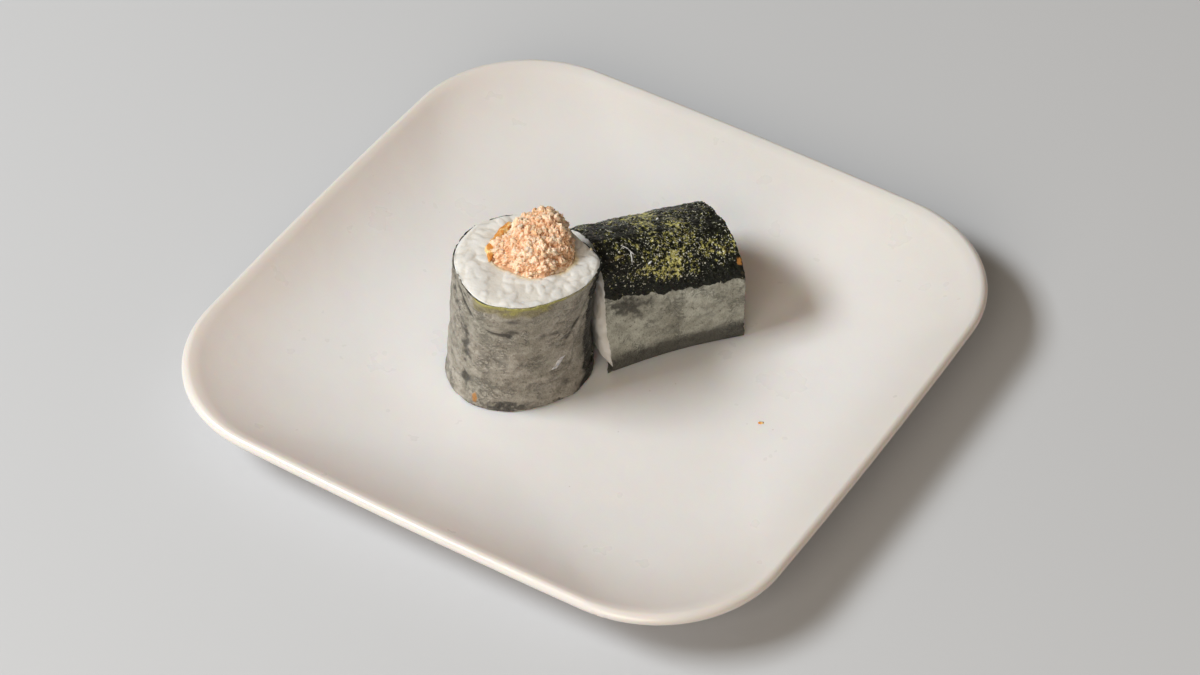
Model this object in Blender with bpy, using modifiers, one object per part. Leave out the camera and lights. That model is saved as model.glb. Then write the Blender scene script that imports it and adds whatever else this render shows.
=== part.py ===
"""Two halves of a cut maki roll on a square coupe plate.

One half stands on its cut face, and the other lies beside it on the side that it has settled
flat on. Each half is a sheet of nori wrapped round rice, with a filling that runs through it.

Metres, +Z up. The origin is the middle of the plate's foot, and X and Y run along its sides.
"""

import math
from dataclasses import dataclass

import bmesh
import bpy
import numpy as np
from mathutils import Matrix, Vector

MM = 0.001
GAP = 0.3 * MM
TURN = 2 * math.pi

# The plate: side to side, the height of its rim, and how far its floor lies under the rim.
PLATE_SIDE = 185 * MM
PLATE_HEIGHT = 17.2 * MM
DISH_DEPTH = 10.7 * MM
CORNER_RADIUS = 38.5 * MM
SIDE_BULGE = 1.9 * MM
SLOPE_WIDTH = 46 * MM
INNER_ROUNDNESS = 0.82
INNER_BULGE = 0.04
WALL = 4.2 * MM
LIP_RADIUS = 1.7 * MM
FOOT_SIDE = 112 * MM
FOOT_WIDTH = 4 * MM
FOOT_ROUND = 0.7 * MM
MIDDLE_SIDE = 84 * MM
FLOOR = PLATE_HEIGHT - DISH_DEPTH
RECESS = FLOOR - WALL
AROUND_PLATE = 64

# The roll: the sheet, the rice and the filling, which both halves share.
HALF_LENGTH = 39.6 * MM
NORI_THICKNESS = 0.45 * MM
LAP = NORI_THICKNESS + GAP
OVERLAP = 0.07
CLIMB = 0.04
RICE_BULGE = 0.9 * MM
FILLING_WIDTH = 23.5 * MM
FILLING_HEIGHT = 21.5 * MM
FILLING_GAP = 0.4 * MM
AROUND_ROLL = 48
AROUND_FILLING = 32
ALONG = 6

# The standing half's radius in mm at each twelfth of a turn, at its foot, waist and top.
STANDING_FOOT = (19.8, 18.9, 18.8, 18.8, 20.0, 20.6, 21.3, 21.5, 20.6, 18.8, 17.4, 18.4)
STANDING_WAIST = (18.0, 17.2, 17.7, 18.2, 19.4, 19.9, 19.8, 20.1, 20.5, 19.2, 17.6, 17.7)
STANDING_TOP = (21.5, 17.4, 17.2, 17.9, 18.2, 18.8, 19.1, 19.2, 20.6, 19.8, 18.9, 20.3)

# The lying half's ends in mm, as (back from its front edge, height): up the front and over.
LYING_NEAR = (
    (0.0, 0.5), (0.3, 4.0), (1.4, 11.5), (2.9, 19.0), (4.2, 26.0), (6.4, 32.5), (12.5, 36.8),
    (20.0, 34.7), (28.0, 30.2), (33.5, 24.2), (36.2, 16.0), (36.0, 7.5), (32.0, 1.2),
    (25.0, 0.0), (12.0, 0.0), (1.2, 0.0),
)
LYING_FAR = (
    (0.0, 0.5), (0.2, 4.0), (0.5, 9.0), (0.7, 14.0), (1.0, 19.3), (3.2, 24.4), (9.2, 28.4),
    (17.5, 28.9), (27.0, 26.2), (34.8, 21.6), (39.2, 14.5), (39.2, 7.0), (35.5, 1.3),
    (27.0, 0.0), (13.0, 0.0), (1.2, 0.0),
)

COLOURS = {
    "plate": ((0.80, 0.76, 0.70), 0.22),
    "nori": ((0.035, 0.042, 0.025), 0.45),
    "rice": ((0.82, 0.80, 0.72), 0.40),
    "filling": ((0.72, 0.42, 0.24), 0.50),
}


@dataclass
class Roll:
    """One half of the roll. Its axis runs from start along the direction across x up."""

    name: str
    start: Vector
    across: Vector
    up: Vector
    sections: tuple  # closed outlines in mm at the near end, part way and at the far end
    lean: float  # how far the near end stands out, above the height where the lean is over
    lean_height: float
    seam: float  # where the sheet's outer end lies, as a share of the way round
    tail: float  # how far its outer end runs on straight
    flap: float  # how much further its near corner does
    filling_at: tuple
    mound: float  # height of the filling over the far end
    peak: tuple  # where the mound is highest, from the middle of the filling

    @property
    def along(self):
        return self.across.cross(self.up)

    def place(self, side, height, share, forward=0.0):
        """A point of the section at this share of the length, in the world."""
        leaned = self.lean * smooth(height / self.lean_height) * (1 - share)
        reach = share * HALF_LENGTH - leaned + forward
        return self.start + self.across * side + self.up * height + self.along * reach


def smooth(share):
    """A soft step from 0 to 1."""
    share = min(max(share, 0.0), 1.0)
    return share * share * (3 - 2 * share)


def between(first, last, share):
    return first + (last - first) * share


def spline(points, count):
    """A closed curve through the points, as points that are evenly spaced along it."""
    fine = 12
    points = np.array(points) * MM
    before, after, beyond = (np.roll(points, shift, axis=0) for shift in (1, -1, -2))
    rows = []
    for t in np.linspace(0, 1, fine, endpoint=False):
        rows.append(0.5 * (
            2 * points + (after - before) * t
            + (2 * before - 5 * points + 4 * after - beyond) * t ** 2
            + (3 * points - before - 3 * after + beyond) * t ** 3
        ))
    curve = np.stack(rows, axis=1).reshape(-1, 2)
    curve = np.vstack([curve, curve[:1]])
    length = np.concatenate([[0], np.cumsum(np.linalg.norm(np.diff(curve, axis=0), axis=1))])
    wanted = np.linspace(0, length[-1], count, endpoint=False)
    return np.stack([np.interp(wanted, length, curve[:, axis]) for axis in (0, 1)], axis=1)


def polar(radii):
    """Points at these radii, evenly spaced round a turn."""
    step = TURN / len(radii)
    return [(r * math.cos(i * step), r * math.sin(i * step)) for i, r in enumerate(radii)]


def section_at(roll, share):
    """The outline part way along: a smooth blend of the roll's sections."""
    sections = [spline(points, AROUND_ROLL) for points in roll.sections]
    if len(sections) == 2:
        return between(sections[0], sections[1], smooth(share))
    near, middle, far = sections
    blend = near * (2 * share - 1) * (share - 1) + far * share * (2 * share - 1)
    return blend + middle * 4 * share * (1 - share)


def outline(roll, share, inset, softening=0):
    """Looks up (side, height) by the share of the way round, drawn in by inset(way)."""
    section = section_at(roll, share)
    for _ in range(softening):
        section = (np.roll(section, 1, axis=0) + 2 * section + np.roll(section, -1, axis=0)) / 4
    ahead = np.roll(section, -1, axis=0) - np.roll(section, 1, axis=0)
    inward = np.stack([-ahead[:, 1], ahead[:, 0]], axis=1)
    inward /= np.linalg.norm(inward, axis=1)[:, None]
    middle = section.mean(axis=0)
    if np.sum(inward * (middle - section)) < 0:
        inward = -inward

    def look_up(way):
        place = (way % 1.0) * len(section)
        index = int(place) % len(section)
        after = (index + 1) % len(section)
        point = between(section[index], section[after], place - int(place))
        normal = between(inward[index], inward[after], place - int(place))
        return point + normal * inset(way)

    return look_up


def rice_inset(roll):
    """How far the rice lies inside the outline: further where the sheet laps over itself."""

    def inset(way):
        past = (way - roll.seam + 0.5) % 1.0 - 0.5
        lapped = smooth((past + OVERLAP + CLIMB) / CLIMB) * (1 - smooth(past / CLIMB))
        return LAP * (1 + lapped)

    return inset


def link(name, mesh, collection, material):
    obj = bpy.data.objects.new(name, mesh)
    collection.objects.link(obj)
    mesh.materials.append(material)
    mesh.shade_smooth()
    return obj


def loft(rings, closed=False):
    """A mesh through rings of as many points each. Open lofts are capped at both ends."""
    mesh = bpy.data.meshes.new("loft")
    bm = bmesh.new()
    made = [[bm.verts.new(point) for point in points] for points in rings]
    pairs = list(zip(made, made[1:])) + ([(made[-1], made[0])] if closed else [])
    for lower, upper in pairs:
        for index in range(len(lower)):
            after = (index + 1) % len(lower)
            bm.faces.new((lower[index], lower[after], upper[after], upper[index]))
    if not closed:
        bm.faces.new(list(reversed(made[0])))
        bm.faces.new(made[-1])
    bmesh.ops.triangulate(bm, faces=[face for face in bm.faces if len(face.verts) > 4])
    bmesh.ops.recalc_face_normals(bm, faces=bm.faces)
    bm.to_mesh(mesh)
    bm.free()
    return mesh


def rounded_square(half, corner, bulge, height):
    """A ring of points: four slightly bowed sides joined by round corners."""
    side_radius = (half * half + bulge * bulge) / (2 * bulge)
    reach = half - side_radius
    # A corner's arc touches the side's arc from inside, with its centre on the diagonal.
    apart = side_radius - corner
    centre = (reach + math.sqrt(2 * apart * apart - reach * reach)) / 2
    meet = math.atan2(centre, centre - reach)
    on_side = AROUND_PLATE // 4 * 3 // 8
    on_corner = AROUND_PLATE // 4 - on_side
    quarter = []
    for step in range(on_side):
        angle = between(-meet, meet, step / on_side)
        quarter.append((reach + side_radius * math.cos(angle), side_radius * math.sin(angle)))
    for step in range(on_corner):
        angle = between(meet, math.pi / 2 - meet, step / on_corner)
        quarter.append((centre + corner * math.cos(angle), centre + corner * math.sin(angle)))
    points = []
    for turn in range(4):
        spin = Matrix.Rotation(turn * math.pi / 2, 3, "Z")
        points += [spin @ Vector((x, y, height)) for x, y in quarter]
    return points


def plate_ring(inset, height):
    """The plate's outline drawn in by inset. Further in, its corners grow rounder."""
    half = PLATE_SIDE / 2 - inset
    inward = smooth(inset / SLOPE_WIDTH)
    roundness = between(CORNER_RADIUS / (PLATE_SIDE / 2), INNER_ROUNDNESS, inward)
    bulge = between(SIDE_BULGE, half * INNER_BULGE, inward)
    return rounded_square(half, roundness * half, bulge, height)


def dish_height(inset):
    """Height of the plate's upper face: a flat floor that curves up to the top of the lip."""
    climb = max((SLOPE_WIDTH - inset) / (SLOPE_WIDTH - LIP_RADIUS), 0.0)
    return FLOOR + DISH_DEPTH * climb ** 2


def plate_rings():
    """Rings from the middle of the floor, over the lip and under to the middle of the recess."""
    middle_inset = (PLATE_SIDE - MIDDLE_SIDE) / 2
    rings = [plate_ring(middle_inset, FLOOR)]
    for share in (1.0, 0.84, 0.68, 0.53, 0.39, 0.26, 0.15):
        rings.append(plate_ring(SLOPE_WIDTH * share, dish_height(SLOPE_WIDTH * share)))
    lip_middle = PLATE_HEIGHT - LIP_RADIUS
    for angle in (100, 55, 10, -35, -80):
        turn = math.radians(angle)
        inset = LIP_RADIUS * (1 - math.cos(turn))
        rings.append(plate_ring(inset, lip_middle + LIP_RADIUS * math.sin(turn)))
    foot_inset = (PLATE_SIDE - FOOT_SIDE) / 2
    for share in (0.2, 0.42, 0.68, 1.0):
        inset = foot_inset * share
        thickness = between(2 * LIP_RADIUS, WALL, smooth(share))
        rings.append(plate_ring(inset, max(dish_height(inset) - thickness, RECESS)))
    rings.append(plate_ring(foot_inset, FOOT_ROUND))
    rings.append(plate_ring(foot_inset + FOOT_ROUND, 0.0))
    rings.append(plate_ring(foot_inset + FOOT_WIDTH - FOOT_ROUND, 0.0))
    rings.append(plate_ring(foot_inset + FOOT_WIDTH, FOOT_ROUND))
    rings.append(plate_ring(foot_inset + FOOT_WIDTH, RECESS))
    rings.append(plate_ring(middle_inset, RECESS))
    return rings


def make_plate(collection, materials):
    link("plate", loft(plate_rings()), collection, materials["plate"])


def sheet_inset(wrapped):
    """How far the sheet lies inside the outline: its inner end is tucked under its outer end."""
    return LAP * (1 - smooth((wrapped - OVERLAP) / CLIMB))


def make_nori(roll, collection, materials):
    """The sheet: an open surface wrapped past a full turn, made solid by Solidify."""
    bm = bmesh.new()
    steps = round(AROUND_ROLL * (1 + OVERLAP))
    rows = []
    for row in range(ALONG + 1):
        share = row / ALONG
        inner_end = roll.seam - OVERLAP
        look_up = outline(roll, share, lambda way: sheet_inset(way - inner_end))
        ways = [inner_end + (1 + OVERLAP) * step / steps for step in range(steps + 1)]
        points = [roll.place(*look_up(way), share) for way in ways]
        corner = roll.flap * (1 - smooth(4 * share))
        ahead = (points[-1] - points[-2]).normalized()
        points.append(points[-1] + ahead * (roll.tail + corner) - roll.along * (corner / 2))
        rows.append([bm.verts.new(point) for point in points])
    for lower, upper in zip(rows, rows[1:]):
        for index in range(len(lower) - 1):
            bm.faces.new((lower[index], lower[index + 1], upper[index + 1], upper[index]))
    bm.normal_update()
    middle = sum((vert.co for vert in bm.verts), Vector()) / len(bm.verts)
    if sum((face.calc_center_median() - middle).dot(face.normal) for face in bm.faces) < 0:
        bmesh.ops.reverse_faces(bm, faces=bm.faces)
    mesh = bpy.data.meshes.new("nori")
    bm.to_mesh(mesh)
    bm.free()
    obj = link(f"{roll.name}_nori", mesh, collection, materials["nori"])
    solid = obj.modifiers.new("thickness", "SOLIDIFY")
    solid.thickness = NORI_THICKNESS
    solid.offset = -1.0
    solid.use_even_offset = True


def filling_ring(roll, share, widen, count=AROUND_FILLING):
    """A ring round the filling: a lumpy oval, as wide as asked beyond its own size."""
    side_at, height_at = roll.filling_at
    points = []
    for step in range(count):
        angle = TURN * step / count
        lump = 1 + 0.045 * math.sin(3 * angle + 4 * share) + 0.035 * math.sin(5 * angle - 3 * share)
        side = side_at * MM + math.cos(angle) * (FILLING_WIDTH / 2 * lump + widen)
        height = height_at * MM + math.sin(angle) * (FILLING_HEIGHT / 2 * lump + widen)
        points.append(roll.place(side, height, share))
    return points


def rice_ring(roll, share):
    look_up = outline(roll, share, rice_inset(roll), softening=2)
    return [roll.place(*look_up(step / AROUND_ROLL), share) for step in range(AROUND_ROLL)]


def facing_ring(roll, share, widen):
    """The filling's ring with a point level with each point of the rice's ring."""
    outer = rice_ring(roll, share)
    fine = filling_ring(roll, share, widen, 8 * AROUND_FILLING)
    middle = sum(fine, Vector()) / len(fine)
    return [
        max(fine, key=lambda point: (point - middle).normalized().dot((far - middle).normalized()))
        for far in outer
    ]


def rice_cap(roll, share, bulge):
    """Rings over one cut face, from the sheet in to the filling."""
    outer = rice_ring(roll, share)
    inner = facing_ring(roll, share, FILLING_GAP)
    rings = []
    for reach in (0.0, 0.2, 0.55, 1.0):
        forward = roll.along * (bulge * math.sin(reach * math.pi / 2))
        rings.append([a.lerp(b, reach) + forward for a, b in zip(outer, inner)])
    return rings


def make_rice(roll, collection, materials):
    """A thick tube of rice: its wall inside the sheet, two cut faces and the filling's hole."""
    near = rice_cap(roll, 0.0, 0.0 if roll.mound else -RICE_BULGE)
    walls = [rice_ring(roll, step / ALONG) for step in range(1, ALONG)]
    far = rice_cap(roll, 1.0, RICE_BULGE)
    hole = [facing_ring(roll, share, FILLING_GAP) for share in (0.75, 0.5, 0.25)]
    rings = walls + far + hole + list(reversed(near))
    link(f"{roll.name}_rice", loft(rings, closed=True), collection, materials["rice"])


def mound_rings(roll, share, height):
    """Rings over the end of the filling, drawn in towards its peak as they rise."""
    edge = filling_ring(roll, share, 0.0)
    side, rise = roll.peak
    top = sum(edge, Vector()) / len(edge)
    top += roll.across * (side * MM) + roll.up * (rise * MM) + roll.along * height
    rings = []
    for index, angle in enumerate((0, 20, 40, 60, 78)):
        turn = math.radians(angle)
        points = []
        for step, point in enumerate(edge):
            lump = 1 + 0.05 * math.sin(5 * TURN * step / len(edge) + 2 * index)
            level = (top - point).dot(roll.along) * math.sin(turn) * lump
            inward = top - point - roll.along * height
            points.append(point + inward * (1 - math.cos(turn)) + roll.along * level)
        rings.append(points)
    return rings


def make_filling(roll, collection, materials):
    """The filling: a lumpy rod through the rice, heaped up on top of the standing half."""
    body = [filling_ring(roll, step / 4, 0.0) for step in range(1, 4)]
    near = [filling_ring(roll, 0.0, 0.0)]
    if not roll.mound:
        near = list(reversed(mound_rings(roll, 0.0, -2 * RICE_BULGE)))
    far = mound_rings(roll, 1.0, roll.mound or 2 * RICE_BULGE)
    link(f"{roll.name}_filling", loft(near + body + far), collection, materials["filling"])


def standing_roll():
    """The half on its cut face, with its filling heaped up towards the back."""
    heading = math.radians(30.85)
    across = Vector((math.cos(heading), math.sin(heading), 0))
    return Roll(
        name="standing",
        start=Vector((-11.5 * MM, -16.8 * MM, FLOOR + GAP)),
        across=across,
        up=Vector((0, 0, 1)).cross(across),
        sections=(polar(STANDING_FOOT), polar(STANDING_WAIST), polar(STANDING_TOP)),
        lean=0.0,
        lean_height=1.0,
        seam=0.32,
        tail=0.5 * MM,
        flap=0.0,
        filling_at=(2.3, 2.8),
        mound=10.5 * MM,
        peak=(4.0, 4.5),
    )


def lying_roll():
    """The half on its side, flat below and in front, with the sheet's free end poking out."""
    heading = math.radians(54.0)
    along = Vector((math.cos(heading), math.sin(heading), 0))
    upright = Vector((0, 0, 1))
    return Roll(
        name="lying",
        start=Vector((11.4 * MM, -5.8 * MM, FLOOR + GAP)),
        across=upright.cross(along),
        up=upright,
        sections=(LYING_NEAR, LYING_FAR),
        lean=1.3 * MM,
        lean_height=15 * MM,
        seam=0.99,
        tail=1.2 * MM,
        flap=1.8 * MM,
        filling_at=(18.5, 15.5),
        mound=0.0,
        peak=(0.0, 0.0),
    )


def make_materials():
    made = {}
    for name, (colour, roughness) in COLOURS.items():
        material = bpy.data.materials.new(name)
        material.use_nodes = True
        shader = material.node_tree.nodes["Principled BSDF"]
        shader.inputs["Base Color"].default_value = (*colour, 1.0)
        shader.inputs["Roughness"].default_value = roughness
        shader.inputs["Metallic"].default_value = 0.0
        made[name] = material
    return made


def main():
    for obj in list(bpy.data.objects):
        bpy.data.objects.remove(obj, do_unlink=True)
    collection = bpy.data.collections.new("maki_on_plate")
    bpy.context.scene.collection.children.link(collection)
    materials = make_materials()
    make_plate(collection, materials)
    for roll in (standing_roll(), lying_roll()):
        make_nori(roll, collection, materials)
        make_rice(roll, collection, materials)
        make_filling(roll, collection, materials)


main()
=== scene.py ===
"""Two halves of a cut maki roll on a square coupe plate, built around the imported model.

Each piece is a grid of quads laid through rings of points, given its relief, and finished with
a node material. Sizes are in metres unless a name ends in _mm. Each half of the roll has its own
section plane: side and height across it, and a share from 0 to 1 along it.
"""

import math
import random

import bmesh
import bpy
import numpy as np
from mathutils import Matrix, Vector, noise


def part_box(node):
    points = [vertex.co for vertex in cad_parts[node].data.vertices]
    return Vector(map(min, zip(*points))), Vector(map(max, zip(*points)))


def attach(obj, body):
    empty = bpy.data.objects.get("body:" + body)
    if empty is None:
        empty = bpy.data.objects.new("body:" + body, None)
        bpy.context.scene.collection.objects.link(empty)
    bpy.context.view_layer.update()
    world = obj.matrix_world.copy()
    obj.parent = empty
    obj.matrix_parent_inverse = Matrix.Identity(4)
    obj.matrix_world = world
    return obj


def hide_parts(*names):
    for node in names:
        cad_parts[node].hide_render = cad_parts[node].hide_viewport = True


bl_info = {
    "name": "Maki Roll on a Plate",
    "version": (1, 0, 0),
    "blender": (4, 5, 0),
    "location": "View3D > Sidebar > Maki",
    "description": "Two halves of a cut maki roll on a square plate",
    "category": "Add Mesh",
}

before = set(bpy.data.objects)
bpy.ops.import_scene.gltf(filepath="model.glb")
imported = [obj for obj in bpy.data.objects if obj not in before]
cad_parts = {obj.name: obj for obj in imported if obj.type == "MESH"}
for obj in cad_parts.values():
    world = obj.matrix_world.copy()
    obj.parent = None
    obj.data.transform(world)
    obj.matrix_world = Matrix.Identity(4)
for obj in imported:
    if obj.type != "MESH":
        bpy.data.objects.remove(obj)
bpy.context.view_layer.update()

MM = 0.001
TURN = 2 * math.pi

# The roll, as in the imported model. Each half's section is turned about Z from the plate's sides.
LENGTH_MM = 39.6
HALF_LENGTH = LENGTH_MM * MM
STANDING_TURN = math.radians(30.85)
LYING_TURN = math.radians(54.0)
STANDING_ROUND_MM = 120.8

# The sheet's lap, and the shares of the way round that it takes and that it climbs over.
LAP = 0.75 * MM
OVERLAP = 0.07
CLIMB = 0.04

# Points round a finished section, points on each span of its curve, and reach of its softening.
FINE = 720
SPAN_POINTS = 24
SOFTENED = 12

STANDING_FOOT = (19.8, 18.9, 18.8, 18.8, 20.0, 20.6, 21.3, 21.5, 20.6, 18.8, 17.4, 18.4)
STANDING_WAIST = (18.0, 17.2, 17.7, 18.2, 19.4, 19.9, 19.8, 20.1, 20.5, 19.2, 17.6, 17.7)
STANDING_TOP = (21.5, 17.4, 17.2, 17.9, 18.2, 18.8, 19.1, 19.2, 20.6, 19.8, 18.9, 20.3)
LYING_NEAR = (
    (0.0, 0.5), (0.3, 4.0), (1.4, 11.5), (2.9, 19.0), (4.2, 26.0), (6.4, 32.5), (12.5, 36.8),
    (20.0, 34.7), (28.0, 30.2), (33.5, 24.2), (36.2, 16.0), (36.0, 7.5), (32.0, 1.2),
    (25.0, 0.0), (12.0, 0.0), (1.2, 0.0),
)
LYING_FAR = (
    (0.0, 0.5), (0.2, 4.0), (0.5, 9.0), (0.7, 14.0), (1.0, 19.3), (3.2, 24.4), (9.2, 28.4),
    (17.5, 28.9), (27.0, 26.2), (34.8, 21.6), (39.2, 14.5), (39.2, 7.0), (35.5, 1.3),
    (27.0, 0.0), (13.0, 0.0), (1.2, 0.0),
)


def smooth(share):
    """A soft step from 0 to 1, for numbers and arrays."""
    share = np.clip(share, 0.0, 1.0)
    return share * share * (3 - 2 * share)


def between(first, last, share):
    """The value at this share of the way from the first to the last."""
    return first + (last - first) * share


def bump(distance, width):
    """1 at no distance, falling softly to 0 over about twice the width."""
    return np.exp(-(distance / width) ** 2)


def field(points, size, seed=0.0, octaves=1, stretch=(1, 1, 1)):
    """Noise from about -1 to 1 at each point, with lumps of this size."""
    points = np.asarray(points)
    flat = points.reshape(-1, 3) / size * np.array(stretch) + seed
    if octaves > 1:
        values = [noise.fractal(Vector(p), 0.8, 2.1, octaves) for p in flat]
    else:
        values = [noise.noise(Vector(p)) for p in flat]
    return np.array(values).reshape(points.shape[:-1])


def crackle(points, size, seed=0.0):
    """0 in the cracks between lumps of this size, rising towards their middles."""
    points = np.asarray(points)
    flat = points.reshape(-1, 3) / size + seed
    values = []
    for point in flat:
        near = noise.voronoi(Vector(point))[0]
        values.append(near[1] - near[0])
    return np.array(values).reshape(points.shape[:-1])


# ---------------------------------------------------------------- shapes


def spline(points, count):
    """A closed curve through the points in mm, as points evenly spaced along it, in metres."""
    points = np.array(points) * MM
    before, after, beyond = (np.roll(points, shift, axis=0) for shift in (1, -1, -2))
    rows = []
    for t in np.linspace(0, 1, SPAN_POINTS, endpoint=False):
        rows.append(0.5 * (
            2 * points + (after - before) * t
            + (2 * before - 5 * points + 4 * after - beyond) * t ** 2
            + (3 * points - before - 3 * after + beyond) * t ** 3
        ))
    curve = np.stack(rows, axis=1).reshape(-1, 2)
    curve = np.vstack([curve, curve[:1]])
    length = np.concatenate([[0], np.cumsum(np.linalg.norm(np.diff(curve, axis=0), axis=1))])
    wanted = np.linspace(0, length[-1], count, endpoint=False)
    return np.stack([np.interp(wanted, length, curve[:, axis]) for axis in (0, 1)], axis=1)


def polar(radii):
    """Points at these radii, evenly turned round the middle."""
    step = TURN / len(radii)
    return [(r * math.cos(i * step), r * math.sin(i * step)) for i, r in enumerate(radii)]


# How far the lying half's filling is drawn in and pushed back near its near cut.
PRESSED_IN = 2.7 * MM
PRESSED_BACK = 3.5 * MM


class Half:
    """One half of the roll: its section plane, its outlines and where its sheet ends."""

    def __init__(self, name, at_mm, across, up, sections, lean, seam, tail, flap, filling_at):
        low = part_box(f"{name}_nori")[0]
        self.name = name
        self.start = np.array([at_mm[0] * MM, at_mm[1] * MM, low.z])
        self.across = np.array(across)
        self.up = np.array(up)
        self.along = np.cross(self.across, self.up)
        self.fine = [spline(points, FINE) for points in sections]
        self.lean = lean * MM
        self.seam = seam
        self.tail = tail * MM
        self.flap = flap * MM
        self.filling_at = filling_at
        self.pressed = float(name == "lying")
        self.narrowed = 1.2 * MM * float(name == "standing")
        self.round_mm = np.linalg.norm(np.diff(self.fine[-1], axis=0), axis=1).sum() / MM

    def section(self, share):
        """The outline at this share of the length, by the two or three that are given."""
        if len(self.fine) == 2:
            return between(self.fine[0], self.fine[1], smooth(share))
        near, middle, far = self.fine
        blend = near * (2 * share - 1) * (share - 1) + far * share * (2 * share - 1)
        return blend + middle * 4 * share * (1 - share)

    def outline(self, ways, share, inset, softening=0):
        """Points of the section at these shares of the way round, drawn in by inset."""
        section = self.section(share)
        for _ in range(softening):
            ahead, behind = (np.roll(section, shift, axis=0) for shift in (SOFTENED, -SOFTENED))
            section = (ahead + 2 * section + behind) / 4
        ahead = np.roll(section, -1, axis=0) - np.roll(section, 1, axis=0)
        inward = np.stack([-ahead[:, 1], ahead[:, 0]], axis=1)
        inward /= np.linalg.norm(inward, axis=1)[:, None]
        if np.sum(inward * (section.mean(axis=0) - section)) < 0:
            inward = -inward
        wanted = np.asarray(ways) % 1.0 * FINE
        known = np.arange(FINE + 1)
        closed = [np.vstack([table, table[:1]]) for table in (section, inward)]
        point, normal = (
            np.stack([np.interp(wanted, known, table[:, axis]) for axis in (0, 1)], axis=1)
            for table in closed
        )
        return point + normal * np.broadcast_to(inset, wanted.shape)[:, None]

    def place(self, flat, share, forward=0.0):
        """World points of section points, at this share of the length and moved forward."""
        side, height = flat[..., 0], flat[..., 1]
        leaned = self.lean * smooth(height / (15 * MM)) * (1 - share)
        reach = share * HALF_LENGTH - leaned + forward
        return (
            self.start + self.across * side[..., None] + self.up * height[..., None]
            + self.along * reach[..., None]
        )

    def filling_ring(self, share, angles, width_mm, height_mm, widen=0.0):
        """Section points round the filling, as wide as asked beyond its own size.

        The lying half's filling is pressed back and narrower near its near cut, and the standing
        half's is narrower on one side at its top.
        """
        pressed = self.pressed * (1 - smooth(share * 2.5))
        widen = widen - PRESSED_IN * pressed
        lump = 1 + 0.045 * np.sin(3 * angles + 4 * share) + 0.035 * np.sin(5 * angles - 3 * share)
        middle_side = self.filling_at[0] * MM + PRESSED_BACK * pressed
        side = middle_side + np.cos(angles) * (width_mm / 2 * MM * lump + widen)
        side = side + self.narrowed * smooth(2 * share - 1) * (0.5 - np.cos(angles) / 2)
        height = self.filling_at[1] * MM + np.sin(angles) * (height_mm / 2 * MM * lump + widen)
        return np.stack([side, height], axis=-1)


def standing_half():
    """The half that stands on its cut: its section is level, and runs from foot to top."""
    turn = STANDING_TURN
    return Half(
        "standing", (-11.5, -16.8), (math.cos(turn), math.sin(turn), 0),
        (-math.sin(turn), math.cos(turn), 0),
        (polar(STANDING_FOOT), polar(STANDING_WAIST), polar(STANDING_TOP)),
        lean=0.0, seam=0.32, tail=0.5, flap=0.0, filling_at=(2.3, 2.8),
    )


def lying_half():
    """The half that lies: its section stands upright on the plate."""
    turn = LYING_TURN
    return Half(
        "lying", (11.4, -5.8), (-math.sin(turn), math.cos(turn), 0), (0, 0, 1),
        (LYING_NEAR, LYING_FAR),
        lean=1.3, seam=0.965, tail=0.3, flap=3.6, filling_at=(18.5, 15.5),
    )


def grid_mesh(name, rows, attributes=None):
    """A mesh through rows of points: a grid whose corners are put in place and then joined."""
    rows = np.asarray(rows)
    bm = bmesh.new()
    bmesh.ops.create_grid(bm, x_segments=rows.shape[1] - 1, y_segments=rows.shape[0] - 1, size=0.5)
    layers = {key: bm.verts.layers.float.new(key) for key in attributes or {}}
    flat = rows.reshape(-1, 3)
    values = {key: np.asarray(table).reshape(-1) for key, table in (attributes or {}).items()}
    for index, vert in enumerate(bm.verts):
        vert.co = flat[index]
        for key, layer in layers.items():
            vert[layer] = float(values[key][index])
    bmesh.ops.remove_doubles(bm, verts=bm.verts, dist=1e-7)
    bmesh.ops.dissolve_degenerate(bm, edges=bm.edges, dist=1e-7)
    bmesh.ops.recalc_face_normals(bm, faces=bm.faces)
    return finish_mesh(name, bm)


def finish_mesh(name, bm):
    """Turns a bmesh into a smooth object in the scene."""
    mesh = bpy.data.meshes.new(name)
    bm.to_mesh(mesh)
    bm.free()
    mesh.shade_smooth()
    obj = bpy.data.objects.new(name, mesh)
    bpy.context.scene.collection.objects.link(obj)
    return obj


def add_piece(obj, material, slot, *nodes):
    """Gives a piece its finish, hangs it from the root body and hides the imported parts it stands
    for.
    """
    obj.data.materials.append(material)
    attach(obj, "root")
    if nodes:
        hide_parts(*nodes)
    return obj


def outward(rows):
    """The unit normals of a grid of points, which face away from its middle."""
    rows = np.asarray(rows)
    normal = np.cross(np.gradient(rows, axis=1), np.gradient(rows, axis=0))
    normal /= np.linalg.norm(normal, axis=-1, keepdims=True) + 1e-12
    middle = rows.mean(axis=(0, 1))
    if np.sum(normal * (rows - middle)) < 0:
        normal = -normal
    return normal


def crease(round_mm, along_mm, points, width, depth):
    """How far a crease that runs through these points presses the sheet in, in mm."""
    deepest = np.zeros_like(round_mm)
    for (a0, b0), (a1, b1) in zip(points, points[1:]):
        run = np.array([a1 - a0, b1 - b0])
        share = ((round_mm - a0) * run[0] + (along_mm - b0) * run[1]) / (run @ run)
        share = np.clip(share, 0, 1)
        away = np.hypot(round_mm - a0 - share * run[0], along_mm - b0 - share * run[1])
        deepest = np.maximum(deepest, bump(away, width))
    return depth * deepest


# ---------------------------------------------------------------- materials


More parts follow.
